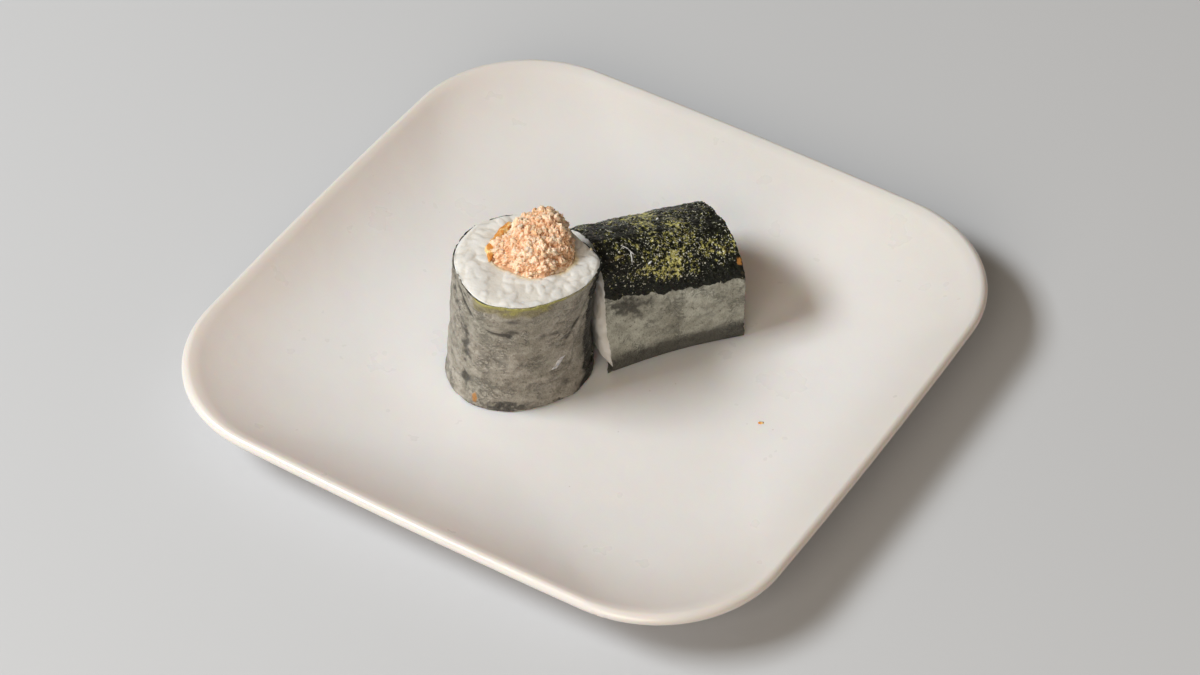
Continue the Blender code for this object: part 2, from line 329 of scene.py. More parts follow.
class Value:
    """A node's output, with arithmetic that adds Math nodes."""

    def __init__(self, graph, socket):
        self.graph = graph
        self.socket = socket

    def _math(self, operation, *inputs):
        node = self.graph.node("ShaderNodeMath", {"operation": operation}, dict(enumerate(inputs)))
        return Value(self.graph, node.outputs[0])

    def __add__(self, other):
        return self._math("ADD", self, other)

    def __radd__(self, other):
        return self._math("ADD", other, self)

    def __sub__(self, other):
        return self._math("SUBTRACT", self, other)

    def __rsub__(self, other):
        return self._math("SUBTRACT", other, self)

    def __mul__(self, other):
        return self._math("MULTIPLY", self, other)

    def __rmul__(self, other):
        return self._math("MULTIPLY", other, self)

    def step(self, low, high):
        """A soft step: 0 at low and under, 1 at high and over."""
        settings = {"interpolation_type": "SMOOTHSTEP"}
        values = {"Value": self, "From Min": low, "From Max": high}
        return Value(self.graph, self.graph.node("ShaderNodeMapRange", settings, values).outputs[0])

    def most(self, other):
        """The larger of the two."""
        return self._math("MAXIMUM", self, other)


class Graph:
    """A material's nodes, with one method that adds a node."""

    def __init__(self, name, **fixed):
        self.material = bpy.data.materials.new(name)
        self.material.use_nodes = True
        self.nodes = self.material.node_tree.nodes
        self.links = self.material.node_tree.links
        self.shader = self.nodes["Principled BSDF"]
        for key, value in fixed.items():
            self.shader.inputs[key.replace("_", " ")].default_value = value

    def node(self, kind, settings=None, values=None):
        made = self.nodes.new(kind)
        for key, value in (settings or {}).items():
            setattr(made, key, value)
        for key, value in (values or {}).items():
            self.set(made.inputs[key], value)
        return made

    def set(self, socket, value):
        if isinstance(value, Value):
            self.links.new(value.socket, socket)
        elif socket.type == "RGBA":
            socket.default_value = (*value, 1.0)
        else:
            socket.default_value = value

    def feed(self, **sockets):
        """Feeds the shader's own sockets, such as Base_Color."""
        for key, value in sockets.items():
            self.set(self.shader.inputs[key.replace("_", " ")], value)

    def attribute(self, name):
        made = self.node("ShaderNodeAttribute", {"attribute_name": name})
        return Value(self, made.outputs["Fac"])

    def coordinates(self, turn=0.0, stretch=(1, 1, 1)):
        """Object coordinates, turned about Z and then stretched."""
        source = Value(self, self.node("ShaderNodeTexCoord").outputs["Object"])
        turned = self.node("ShaderNodeMapping", None, {"Vector": source, "Rotation": (0, 0, -turn)})
        placed = Value(self, turned.outputs[0])
        made = self.node("ShaderNodeMapping", None, {"Vector": placed, "Scale": stretch})
        return Value(self, made.outputs[0])

    def noise(self, place, size, detail=3.0, rough=0.55, warp=0.0):
        """Noise from 0 to 1 with lumps of this size."""
        values = {"Vector": place, "Scale": 1 / size, "Detail": detail}
        values.update({"Roughness": rough, "Distortion": warp})
        return Value(self, self.node("ShaderNodeTexNoise", None, values).outputs["Fac"])

    def cells(self, place, size):
        """Distance to the nearest of scattered points, in cells of this size."""
        values = {"Vector": place, "Scale": 1 / size}
        made = self.node("ShaderNodeTexVoronoi", {"feature": "F1"}, values)
        return Value(self, made.outputs["Distance"])

    def mix(self, mask, first, second):
        """The first colour where mask is 0 and the second where it is 1."""
        settings = {"data_type": "RGBA", "blend_type": "MIX", "clamp_factor": True}
        made = self.node("ShaderNodeMix", settings)
        self.set(made.inputs[0], mask)
        self.set(made.inputs[6], first)
        self.set(made.inputs[7], second)
        return Value(self, made.outputs[2])

    def relief(self, height, depth):
        """Feeds the shader's normal with a height, whose full range is this deep."""
        values = {"Height": height, "Distance": depth, "Strength": 1.0}
        made = self.node("ShaderNodeBump", None, values)
        self.set(self.shader.inputs["Normal"], Value(self, made.outputs[0]))


def glaze_material(settings):
    """Off-white glaze: warm and cool drifts, painted shade up the sides, fine waviness, a few clay
    specks.
    """
    graph = Graph(
        "glaze", IOR=1.5, Coat_Weight=0.35, Coat_Roughness=0.06, Subsurface_Weight=0.35,
        Subsurface_Radius=(1.0, 0.4, 0.15), Subsurface_Scale=0.012,
    )
    place = graph.coordinates()
    drift = graph.noise(place, 0.07, detail=2).step(0.3, 0.7)
    colour = graph.mix(drift, settings.glaze, settings.glaze_shade)
    gathered = graph.noise(place, 0.02).step(0.56, 0.64)
    specks = graph.cells(place, 0.0045).step(0.055, 0.035) * gathered
    colour = graph.mix(specks * 0.35, colour, settings.clay)
    upward = Value(graph, graph.node("ShaderNodeSeparateXYZ", None, {"Vector": place}).outputs["Z"])
    # Painted shade: the glaze is darkened where the sides climb.
    colour = graph.mix(upward.step(0.0075, 0.0165) * 0.85, colour, settings.glaze_slope)
    graph.feed(Base_Color=colour, Roughness=0.24 + 0.1 * graph.noise(place, 0.012))
    waves = graph.noise(place, 0.018, detail=2) + 0.08 * graph.noise(place, 0.0012)
    graph.relief(waves, 0.00025)
    return graph.material


def nori_material(settings, turn, name, light, shade):
    """Toasted seaweed, from its dark glossy skin to its grey face, a painted reflection.

    Four attributes steer it: reflection is 0 on the skin and 1 on the painted grey reflection,
    stain is where it is thin or yellowed, spoil is a torn spot, and hollow is painted shade in
    creases and shaded places, with a few dark spots.
    """
    graph = Graph(name, IOR=1.5, Specular_IOR_Level=0.22)
    place = graph.coordinates(turn)
    drawn = graph.coordinates(turn, (0.6, 0.6, 1.0))
    bloom = graph.attribute("bloom")
    stain = graph.attribute("stain")
    spoil = graph.attribute("spoil")
    hollow = graph.attribute("hollow")
    blotch = graph.noise(place, 0.0042, detail=6, rough=0.68)
    patch = graph.noise(place, 0.011, detail=3)
    grain = graph.noise(place, 0.0011, detail=4, rough=0.7)
    grit = graph.noise(place, 0.0005, detail=2)

    # The skin: black, worn to olive and yellow in patches, with painted glints as light flecks.
    dark = graph.mix(grain.step(0.4, 0.62), settings.black, settings.green_black)
    thin = blotch + 2.1 * (grain - 0.5) + 0.42 * (stain - 0.3)
    dark = graph.mix(thin.step(0.56, 0.72) * 0.85, dark, settings.deep_olive)
    dark = graph.mix(thin.step(0.70, 0.84) * 0.9, dark, settings.olive)
    dark = graph.mix(thin.step(0.80, 0.92) * 0.9, dark, settings.yellow_olive)
    brown = graph.noise(place, 0.007, detail=5, rough=0.7).step(0.56, 0.68) * grain.step(0.42, 0.6)
    dark = graph.mix(brown * 0.5, dark, settings.brown)
    sparse = (blotch + 0.8 * (grain - 0.5) + 0.3 * (stain - 0.1)).step(0.46, 0.60)
    # Painted glints: light flecks on the skin.
    glints = grit.step(0.60, 0.65) * sparse
    dark = graph.mix(glints * 0.9, dark, settings.fleck)

    # The grey face is painted reflection of the bright plate, with painted shade in its folds,
    # greener and paler patches, fine lines and pits.
    folds = graph.noise(drawn, 0.0026, detail=5, rough=0.65)
    veins = graph.noise(drawn, 0.0040, detail=4, rough=0.6, warp=0.4) - 0.5
    creped = graph.noise(drawn, 0.0019, detail=3, rough=0.6, warp=0.8) - 0.5
    wide_lines = 1.0 - (veins * veins).step(0.0, 0.0012)
    lines = wide_lines.most(1.0 - (creped * creped).step(0.0, 0.0009))
    lines = lines * graph.noise(place, 0.006, detail=2).step(0.45, 0.62)
    grey = graph.mix((folds + 0.4 * (grain - 0.5)).step(0.34, 0.66), shade, light)
    grey = graph.mix(patch.step(0.38, 0.64) * 0.45, grey, settings.bloom_green)
    pale = (blotch + 0.5 * (grain - 0.5)).step(0.60, 0.80)
    grey = graph.mix(pale * 0.45, grey, settings.bloom_pale)
    pits = grain.step(0.40, 0.32).most(grit.step(0.33, 0.27))
    grey = graph.mix((pits * 0.6).most(lines * 0.42), grey, settings.pit)
    # Painted glints on the grey face as well.
    grey = graph.mix(grit.step(0.69, 0.74) * 0.5, grey, settings.fleck)

    # Where one meets the other, and the stains on both.
    # The painted reflection's ragged edge: 1 on the grey face, 0 on the dark skin.
    ragged = bloom + 0.6 * (blotch - 0.5) + 0.45 * (grain - 0.5)
    skin = ragged.step(0.40, 0.58)
    colour = graph.mix(skin, dark, grey)
    yellowed = (stain + 0.9 * (blotch - 0.5) + 0.5 * (folds - 0.5)).step(0.35, 0.9) * skin
    colour = graph.mix(yellowed * 0.62, colour, settings.olive_stain)
    rim = (stain + 0.5 * (grain - 0.5)).step(0.95, 1.2) * skin
    colour = graph.mix(rim * 0.7, colour, settings.olive_edge)
    spoiled = (spoil + 1.4 * (blotch - 0.5) + 1.0 * (grain - 0.5)).step(0.45, 0.75)
    colour = graph.mix(spoiled * 0.85, colour, settings.spoiled)
    # Painted shade in creases and shaded places, and dark spots, in the pit colour.
    shade_and_marks = (hollow + 0.9 * (grain - 0.5)).step(0.2, 0.9)
    colour = graph.mix(shade_and_marks * 0.8, colour, settings.pit)
    graph.feed(Base_Color=colour, Roughness=0.36 + 0.16 * skin + 0.5 * (grain - 0.5))
    graph.relief(grain + 0.4 * grit + 0.8 * blotch + 1.1 * folds - 0.35 * lines, 0.00042)
    return graph.material


def rice_material(settings):
    """Pressed rice: clear to milky grains, painted shade between them, stained next to the filling.
    """
    graph = Graph(
        "rice", IOR=1.42, Coat_Weight=0.12, Coat_Roughness=0.25, Subsurface_Weight=0.6,
        Subsurface_Radius=(1.0, 0.85, 0.7), Subsurface_Scale=0.002,
    )
    place = graph.coordinates()
    milky = graph.noise(place, 0.0045, detail=3)
    fine = graph.noise(place, 0.0009, detail=3)
    tone = graph.attribute("tone")
    cloudy = (milky + 0.5 * tone).step(0.45, 0.85)
    colour = graph.mix(cloudy, settings.clear, settings.milky)
    hollow = graph.attribute("hollow")
    # Painted shade between the grains.
    colour = graph.mix(hollow * 0.55, colour, settings.hollow)
    stain = (graph.attribute("stain") + 0.5 * (milky - 0.5)).step(0.25, 0.9)
    colour = graph.mix(stain * 0.75, colour, settings.stain)
    graph.feed(Base_Color=colour, Roughness=0.4 + 0.25 * fine)
    graph.relief(milky + 0.35 * fine, 0.00022)
    return graph.material


def filling_material(settings):
    """Flaked fish in dressing: pale flakes, hollows browned with painted shade, glossy edges."""
    graph = Graph(
        "flaked_fish", IOR=1.4, Coat_Weight=0.12, Coat_Roughness=0.25, Subsurface_Weight=0.45,
        Subsurface_Radius=(1.0, 0.6, 0.35), Subsurface_Scale=0.0018,
    )
    place = graph.coordinates()
    soft = graph.noise(place, 0.003, detail=4, rough=0.6)
    fine = graph.noise(place, 0.0007, detail=4, rough=0.7)
    tone = graph.attribute("tone")
    mottled = (soft + 0.6 * (fine - 0.5)).step(0.38, 0.62)
    colour = graph.mix(mottled, settings.flesh, settings.pale)
    colour = graph.mix(tone.step(0.72, 0.95) * 0.7, colour, settings.deep)
    hollow = graph.attribute("hollow")
    # Painted shade in the hollows.
    sunken = (hollow + 0.5 * (fine - 0.5)).step(0.35, 0.95)
    colour = graph.mix(sunken * 0.8, colour, settings.shade)
    graph.feed(Base_Color=colour, Roughness=0.42 + 0.25 * fine)
    graph.relief(soft + 0.5 * fine, 0.0003)
    return graph.material


def sauce_material(settings):
    """Sweet orange strip, clearer and browner where it is thick."""
    graph = Graph(
        "orange_strip", IOR=1.42, Coat_Weight=0.1, Coat_Roughness=0.3, Subsurface_Weight=0.3,
        Subsurface_Radius=(1.0, 0.5, 0.15), Subsurface_Scale=0.0012,
    )
    place = graph.coordinates()
    soft = graph.noise(place, 0.0028, detail=3)
    colour = graph.mix(soft.step(0.44, 0.58), settings.orange, settings.amber)
    graph.feed(Base_Color=colour, Roughness=0.42 + 0.2 * graph.noise(place, 0.001))
    graph.relief(soft + 0.6 * graph.noise(place, 0.0008, detail=4), 0.0005)
    return graph.material


# ---------------------------------------------------------------- settings


def length_setting(name, description, default):
    """A size in metres that a user can change."""
    return bpy.props.FloatProperty(
        name=name, description=description, unit="LENGTH", default=default,
    )


def angle_setting(name, description, degrees):
    """An angle that a user can change."""
    return bpy.props.FloatProperty(
        name=name, description=description, subtype="ANGLE", default=math.radians(degrees),
    )


def number_setting(name, description, default):
    """A plain number that a user can change."""
    return bpy.props.FloatProperty(name=name, description=description, default=default)


def colour_setting(name, description, default):
    """A linear colour that a user can change."""
    return bpy.props.FloatVectorProperty(
        name=name, description=description, subtype="COLOR", size=3, min=0, max=1, default=default,
    )


class PlateSettings(bpy.types.PropertyGroup):
    """Sizes and colours of the plate."""

    side: length_setting(
        "Side", "From side to side", (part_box("plate")[1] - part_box("plate")[0]).x,
    )
    glaze: colour_setting("Glaze", "Off-white of the glaze", (0.82, 0.78, 0.775))
    glaze_shade: colour_setting("Glaze, warm", "Where the glaze is thinner", (0.80, 0.755, 0.74))
    # Painted shade for the climbing sides.
    glaze_slope: colour_setting("Glaze, slopes", "Where the sides climb", (0.675, 0.638, 0.61))
    clay: colour_setting("Clay", "Specks under the glaze", (0.35, 0.28, 0.20))


class NoriSettings(bpy.types.PropertyGroup):
    """Size and colours of the seaweed sheet."""

    thickness: length_setting("Thickness", "Of the sheet", 0.32 * MM)
    black: colour_setting("Black", "Darkest skin", (0.0025, 0.003, 0.002))
    green_black: colour_setting("Green black", "Skin in the light", (0.010, 0.0125, 0.006))
    deep_olive: colour_setting("Deep olive", "Thinner skin", (0.036, 0.039, 0.009))
    olive: colour_setting("Olive", "Thinnest skin", (0.24, 0.225, 0.05))
    yellow_olive: colour_setting("Yellow olive", "Worn places of the skin", (0.55, 0.52, 0.19))
    brown: colour_setting("Brown", "Toasted places", (0.085, 0.05, 0.018))
    # Painted glints.
    fleck: colour_setting("Fleck", "Light flecks", (0.74, 0.74, 0.64))
    # Painted reflection of the bright plate on the grey faces, lighter on the lying half; the
    # darker ones are painted shade in its folds.
    warm_bloom: colour_setting("Warm bloom", "Dry face, standing half", (0.395, 0.372, 0.323))
    warm_shade: colour_setting("Warm bloom, darker", "Its folds", (0.24, 0.22, 0.182))
    cool_bloom: colour_setting("Cool bloom", "Dry face, lying half", (0.435, 0.446, 0.392))
    cool_shade: colour_setting("Cool bloom, darker", "Its folds", (0.285, 0.29, 0.248))
    bloom_pale: colour_setting("Pale bloom", "Palest dry patches", (0.48, 0.47, 0.42))
    bloom_green: colour_setting("Bloom, green", "Greener dry face", (0.25, 0.245, 0.20))
    # Real pits, and painted shade in creases and low places.
    pit: colour_setting("Pit", "Pits and creases", (0.035, 0.034, 0.03))
    olive_stain: colour_setting("Olive stain", "Yellowed by the rice", (0.24, 0.21, 0.085))
    olive_edge: colour_setting("Olive edge", "Cut edge of the sheet", (0.38, 0.36, 0.10))
    spoiled: colour_setting("Torn spot", "Where the filling shows through", (0.42, 0.19, 0.045))


class RiceSettings(bpy.types.PropertyGroup):
    """Size and colours of the rice."""

    grain_length: length_setting("Grain length", "Of one cooked grain", 5.6 * MM)
    grain_width: length_setting("Grain width", "Of one cooked grain", 2.5 * MM)
    milky: colour_setting("Milky", "Opaque rice", (0.825, 0.805, 0.765))
    clear: colour_setting("Clear", "Glassy rice", (0.67, 0.665, 0.64))
    # Painted shade between the grains.
    hollow: colour_setting("Hollow", "Between the grains", (0.60, 0.56, 0.48))
    stain: colour_setting("Stain", "Next to the filling", (0.76, 0.58, 0.27))


class FillingSettings(bpy.types.PropertyGroup):
    """Sizes and colours of the filling."""

    width: length_setting("Width", "Across the filling", 23.5 * MM)
    height: length_setting("Height", "Up the filling", 21.5 * MM)
    heap: length_setting("Heap", "How far it stands over the rice", 10.2 * MM)
    flesh: colour_setting("Flesh", "Pink-beige flakes", (0.845, 0.56, 0.375))
    pale: colour_setting("Pale", "Palest flakes", (0.89, 0.67, 0.495))
    deep: colour_setting("Deep", "Browner flakes", (0.78, 0.42, 0.20))
    shade: colour_setting("Shade", "Hollows between the flakes", (0.54, 0.25, 0.10))
    orange: colour_setting("Orange", "Strip beside the fish", (0.60, 0.235, 0.04))
    amber: colour_setting("Amber", "Strip, lighter", (0.82, 0.58, 0.26))


class StageSettings(bpy.types.PropertyGroup):
    """Camera, lights and floor."""

    azimuth: angle_setting("Azimuth", "Camera's turn about Z", 30.85)
    elevation: angle_setting("Elevation", "Camera's height", 44.125)
    roll: angle_setting("Roll", "Camera's tilt", 1.295)
    distance: length_setting("Distance", "From the camera to its target", 1.0382)
    lens: number_setting("Lens", "Focal length in mm", 112.8)
    floor: colour_setting("Floor", "Plain pale table", (0.55, 0.565, 0.585))
    sky: colour_setting("Sky", "Soft light from all round", (1.0, 0.84, 0.655))
    sky_power: number_setting("Sky power", "Of the soft light", 0.17)
    key: colour_setting("Key", "Light of the side lamp", (0.97, 0.99, 1.0))
    key_power: number_setting("Key power", "Of the side lamp", 39.0)
    key_width: length_setting("Key width", "Of the side lamp", 0.95)
    key_height: length_setting("Key height", "Of the side lamp", 0.5)
    front: colour_setting("Front", "Light of the front lamp", (1.0, 0.89, 0.77))
    front_power: number_setting("Front power", "Of the front lamp", 20.0)
    front_size: length_setting("Front size", "Across the front lamp", 1.4)


# ---------------------------------------------------------------- plate

# The plate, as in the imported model: its sides climb over the slope, from the floor to the lip.
SLOPE_WIDTH = 46 * MM
LIP_RADIUS = 1.7 * MM
CORNER = 38.5 * MM
BOW = 1.9 * MM
FLOOR_UP = 6.5 * MM
WALL = 4.2 * MM
FOOT_INSET = 36.5 * MM
FOOT_WIDTH = 4 * MM
RING_POINTS = 240

# The foot's rounded edge: mm in from its side, and mm up.
FOOT_EDGE = ((0, 0.9), (0.1, 0.5), (0.35, 0.15), (0.8, 0))


def rounded_square(half, corner, bulge, height, count):
    """A ring of points: four slightly bowed sides joined by round corners."""
    side_radius = (half * half + bulge * bulge) / (2 * bulge)
    reach = half - side_radius
    apart = side_radius - corner
    centre = (reach + math.sqrt(2 * apart * apart - reach * reach)) / 2
    meet = math.atan2(centre, centre - reach)
    on_side = count // 4 * 2 // 5
    on_corner = count // 4 - on_side
    side = between(-meet, meet, np.arange(on_side) / on_side)
    turn = between(meet, math.pi / 2 - meet, np.arange(on_corner) / on_corner)
    x = np.concatenate([reach + side_radius * np.cos(side), centre + corner * np.cos(turn)])
    y = np.concatenate([side_radius * np.sin(side), centre + corner * np.sin(turn)])
    points = []
    for _ in range(4):
        points.append(np.stack([x, y, np.full_like(x, height)], axis=1))
        x, y = -y, x
    ring = np.concatenate(points)
    return np.vstack([ring, ring[:1]])


def plate_rows(side, height):
    """Rings from the middle of the floor over the lip and under to the middle of the recess."""

    def ring(inset, level):
        half = side / 2 - inset
        inward = float(smooth(inset / SLOPE_WIDTH))
        roundness = between(CORNER / (side / 2), 0.82, inward)
        bow = between(BOW, half * 0.04, inward)
        return rounded_square(half, roundness * half, bow, level, RING_POINTS)

    def dish(inset):
        """How high the upper face is, this far in from the side."""
        climb = max((SLOPE_WIDTH - inset) / (SLOPE_WIDTH - LIP_RADIUS), 0.0)
        return FLOOR_UP + (height - FLOOR_UP) * climb ** 2

    recess = FLOOR_UP - WALL
    middle = ring(side / 2 - 3 * MM, FLOOR_UP)
    rows = [middle * (0, 0, 1), middle]
    rows += [ring(side / 2 - half * MM, FLOOR_UP) for half in (12, 24, 36)]
    rows += [ring(SLOPE_WIDTH * s, dish(SLOPE_WIDTH * s)) for s in np.linspace(1.0, 0.09, 22)]
    lip_middle = height - LIP_RADIUS
    for angle in np.radians(np.linspace(96, -84, 13)):
        inset = LIP_RADIUS * (1 - math.cos(angle))
        rows.append(ring(inset, lip_middle + LIP_RADIUS * math.sin(angle)))
    for share in np.linspace(0.12, 1.0, 12):
        inset = FOOT_INSET * share
        thickness = between(2 * LIP_RADIUS, WALL, float(smooth(share)))
        rows.append(ring(inset, max(dish(inset) - thickness, recess)))
    outer, inner = FOOT_INSET, FOOT_INSET + FOOT_WIDTH
    rows += [ring(outer + inset * MM, level * MM) for inset, level in FOOT_EDGE]
    rows += [ring(inner - inset * MM, level * MM) for inset, level in FOOT_EDGE[::-1]]
    rows += [ring(inner, recess - 0.3 * MM), ring(inner + 0.4 * MM, recess)]
    rows += [ring(side / 2 - half * MM, recess) for half in (36, 20, 3)]
    rows.append(rows[-1] * (0, 0, 1))
    return rows


class MAKI_OT_plate(bpy.types.Operator):
    """Square coupe plate with a rolled lip and a low foot"""

    bl_idname = "maki.plate"
    bl_label = "Plate"

    def execute(self, context):
        settings = context.scene.maki_plate
        low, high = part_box("plate")
        plate = grid_mesh("glazed_plate", plate_rows(settings.side, high.z - low.z))
        add_piece(plate, glaze_material(settings), "glazed_ceramic", "plate")
        return {"FINISHED"}


# ---------------------------------------------------------------- nori


# Points round the sheet, along it and across its free edge.
SHEET_COLUMNS, SHEET_ROWS, FREE_COLUMNS = 372, 116, 6


def sheet_rows(half, columns, count, free):
    """Rows of points along the sheet, with the way round and the share along of each.

    The sheet starts under its own lap, goes once round, and ends in a short free edge.
    """
    wrapped = np.linspace(0, 1 + OVERLAP, columns)
    inset = LAP * (1 - smooth((wrapped - OVERLAP) / CLIMB))
    ways = half.seam - OVERLAP + wrapped
    rows = []
    for share in np.linspace(0, 1, count):
        flat = half.outline(ways, share, inset)
        points = half.place(flat, np.full(len(flat), share))
        corner = half.flap * (1 - smooth(4 * share))
        ahead = points[-1] - points[-2]
        ahead /= np.linalg.norm(ahead)
        steps = np.arange(1, free + 1)[:, None] / free
        end = points[-1] + steps * (ahead * (half.tail + corner) - half.along * corner / 2)
        rows.append(np.vstack([points, end]))
    last = ways[-1] + np.arange(1, free + 1) * 0.002
    ways = np.concatenate([ways, last])
    wrapped = np.concatenate([wrapped, np.full(free, 1 + OVERLAP)])
    shares = np.linspace(0, 1, count)[:, None] * np.ones(len(ways))
    return np.array(rows), np.broadcast_to(ways, shares.shape), wrapped, shares


def make_sheet(half, settings, relief, attributes, material):
    """The sheet of one half: its wrap, its relief, ragged cut edges and its thickness."""
    rows, ways, wrapped, shares = sheet_rows(half, SHEET_COLUMNS, SHEET_ROWS, FREE_COLUMNS)
    round_mm = ways * half.round_mm
    along_mm = shares * HALF_LENGTH / MM
    pressed = relief(rows, round_mm % half.round_mm, along_mm) * MM
    free = smooth((wrapped - OVERLAP) / CLIMB) * smooth((1 + OVERLAP + 0.004 - wrapped) / 0.02)
    height = rows[..., 2] - half.start[2]
    clear = 1.0
    if half.name == "lying":
        # Nothing is pressed into the plate, or inwards right above it.
        clear = smooth((height - 0.05 * MM) / (1.5 * MM))
        eased = between(np.maximum(pressed, 0), pressed, smooth(height / (4 * MM)))
        pressed = np.where(height < 4 * MM, eased, pressed)
    rows = rows + outward(rows) * (pressed * free * clear)[..., None]
    if half.name == "lying":
        # Its front bows in at the foot.
        side = (rows - half.start) @ half.across
        foot = (1 - smooth(height / (9 * MM))) * (1 - smooth(side / (12 * MM)))
        rows = rows + half.across * (1.3 * MM * foot * np.sin(shares * math.pi))[..., None]
    edge = bump(shares * HALF_LENGTH, 1.3 * MM) + bump((1 - shares) * HALF_LENGTH, 1.3 * MM)
    ragged = field(rows, 1.4 * MM, 3.0, 3) * 0.28 * MM
    if half.name == "standing":
        ragged = np.where(shares < 0.5, np.abs(ragged), ragged)
    rows = rows + half.along * (edge * ragged)[..., None]
    tables = attributes(rows, round_mm % half.round_mm, along_mm, pressed / MM)
    obj = grid_mesh(f"{half.name}_seaweed", rows, attributes=tables)
    middle = Vector(rows.reshape(-1, 3).mean(axis=0))
    faces = obj.data.polygons
    if sum((face.center - middle).dot(face.normal) * face.area for face in faces) < 0:
        obj.data.flip_normals()
    solid = obj.modifiers.new("thickness", "SOLIDIFY")
    solid.thickness = settings.thickness
    solid.offset = -1.0
    return add_piece(obj, material, "nori", f"{half.name}_nori")


# Creases of the standing half, as (mm round from its right side, mm up), with width and depth.
STANDING_CREASES = (
    (((64, 40), (69, 36), (75, 32), (82, 29.5), (88, 28.5)), 0.8, 0.55),
    (((66, 40), (72, 37), (78, 33.5), (85, 31.5)), 0.6, 0.40),
    (((62, 38), (66, 32), (71, 27), (74, 22)), 0.8, 0.35),
    (((74, 31), (75, 22), (74.5, 12), (76, 2)), 1.0, 0.40),
    (((117, 40), (114, 33), (110, 26), (106, 21)), 0.9, 0.40),
    (((118, 34), (114, 26), (110, 18), (109, 11)), 0.8, 0.30),
    (((113, 39), (108, 36), (101, 34.5)), 0.7, 0.30),
    (((96, 20), (104, 22), (111, 27)), 0.8, 0.25),
    (((10, 40), (16, 32), (18, 22)), 0.9, 0.40),
    (((34, 38), (31, 28), (33, 17), (30, 6)), 0.9, 0.35),
    (((52, 40), (50, 30), (54, 20)), 0.8, 0.35),
)

# The fold from the standing half's top left corner, darkened with painted shade, and the creases
# of the lying half.
FOLDED = ((61, 40), (66, 33), (73, 26), (76, 16))
LYING_CREASES = (
    (((1, 9), (6, 15), (9, 24), (9, 34)), 1.1, 0.30),
    (((4, 0), (9, 6), (12, 14)), 0.8, 0.25),
    (((14, 40), (11, 33), (6, 29)), 0.9, 0.25),
)


def standing_relief(rows, round_mm, along_mm):
    """Soft folds that run round the half, with deeper creases from its top corners."""
    folds = field(rows, 5.2 * MM, 11.0, 2, (0.45, 0.45, 1.0)) * 0.42
    folds += field(rows, 2.3 * MM, 5.0, 2, (0.4, 0.4, 1.0)) * 0.22
    dents = field(rows, 9 * MM, 2.0) * 0.35 + field(rows, 1.1 * MM, 8.0, 2) * 0.07
    creases = sum(crease(round_mm, along_mm, *fold) for fold in STANDING_CREASES)
    quiet = smooth((40 - along_mm) / 2.5) * 0.7 + 0.3
    way = (round_mm / STANDING_ROUND_MM + 0.5) % 1.0 - 0.5
    bulge = 0.95 * bump(way, 0.06) * np.sin(np.clip(along_mm / 36, 0, 1) * math.pi)
    return (folds + dents) * quiet - creases + bulge


def standing_tables(rows, round_mm, along_mm, pressed):
    """Where the standing sheet has painted reflection, olive patches, a tear and painted shade in
    creases.
    """
    way = round_mm / STANDING_ROUND_MM
    # Painted reflection: grey on the side that faces forward. Painted shade: dark where the two
    # halves touch, and less grey right at the foot.
    facing = np.cos((way - 0.71) * TURN)
    bloom = 0.35 + 0.55 * smooth((facing + 0.15) / 0.6)
    # Painted shade where the two halves touch.
    contact_shade = bump(np.abs((way - 0.995 + 0.5) % 1.0 - 0.5), 0.04)
    bloom = bloom * (1 - 0.7 * contact_shade)
    bloom = bloom - 0.35 * bump(along_mm, 1.4)
    # Olive in a band under the top, along its cut edge and beside the torn spot.
    band = smooth((way - 0.60) / 0.05) * (1 - smooth((way - 0.79) / 0.08))
    rim = smooth((way - 0.60) / 0.05) * (1 - smooth((way - 0.95) / 0.04))
    depth = LENGTH_MM - along_mm - 1.2 * field(rows, 6 * MM, 4.0)
    stain = band * smooth((5.0 - depth) / 3.0) * (0.95 + 0.3 * field(rows, 3 * MM, 14.0, 2))
    stain += (1.0 + 0.5 * field(rows, 4 * MM, 24.0, 2)) * bump(39.9 - along_mm, 0.75) * rim
    stain += 0.55 * bump(np.hypot(round_mm - 85, along_mm - 2.5), 2.6)
    spoil = bump(np.hypot((round_mm - 79.5) / 0.8, (along_mm - 3.0) / 1.4), 1.5)
    # Painted shade in the creases, towards the lying half, low down and down one fold, and dark
    # spots at the foot.
    hollow = np.clip(-pressed - 0.2, 0, 0.5) / 0.5
    spots = bump(along_mm - 1.8, 2.0) * bump(round_mm - 89, 6.5)
    hollow = np.maximum(hollow, spots * (0.9 + 1.6 * field(rows, 1.8 * MM, 6.0, 2)))
    hollow = hollow + 0.42 * smooth((way - 0.86) / 0.1) * (way < 0.99)
    cloudy = 0.25 * (field(rows, 3.5 * MM, 19.0, 3) - 0.1)
    hollow = hollow + 0.25 * smooth((5 - along_mm) / 5) + cloudy
    folded = crease(round_mm, along_mm, FOLDED, 2.6, 0.65)
    hollow = np.maximum(hollow, folded * (0.9 + 1.2 * field(rows, 2.2 * MM, 33.0, 3)))
    purple = bump(np.hypot((round_mm - 88) / 2.2, along_mm - 34.6), 1.2)
    hollow = np.maximum(hollow, 0.75 * purple)
    return {"bloom": bloom, "stain": stain, "spoil": spoil, "hollow": np.clip(hollow, 0, 1)}


def lying_relief(rows, round_mm, along_mm):
    """A rough top, a smoother front and a few long folds."""
    height = rows[..., 2] - rows[..., 2].min()
    top = smooth((height - 19 * MM) / (5 * MM))
    rough = field(rows, 3.2 * MM, 7.0, 3) * 0.36 + field(rows, 1.2 * MM, 1.0, 2) * 0.17
    calm = field(rows, 8 * MM, 3.0, 2) * 0.30
    creases = sum(crease(round_mm, along_mm, *fold) for fold in LYING_CREASES)
    return calm + rough * (0.35 + 0.65 * top) - creases


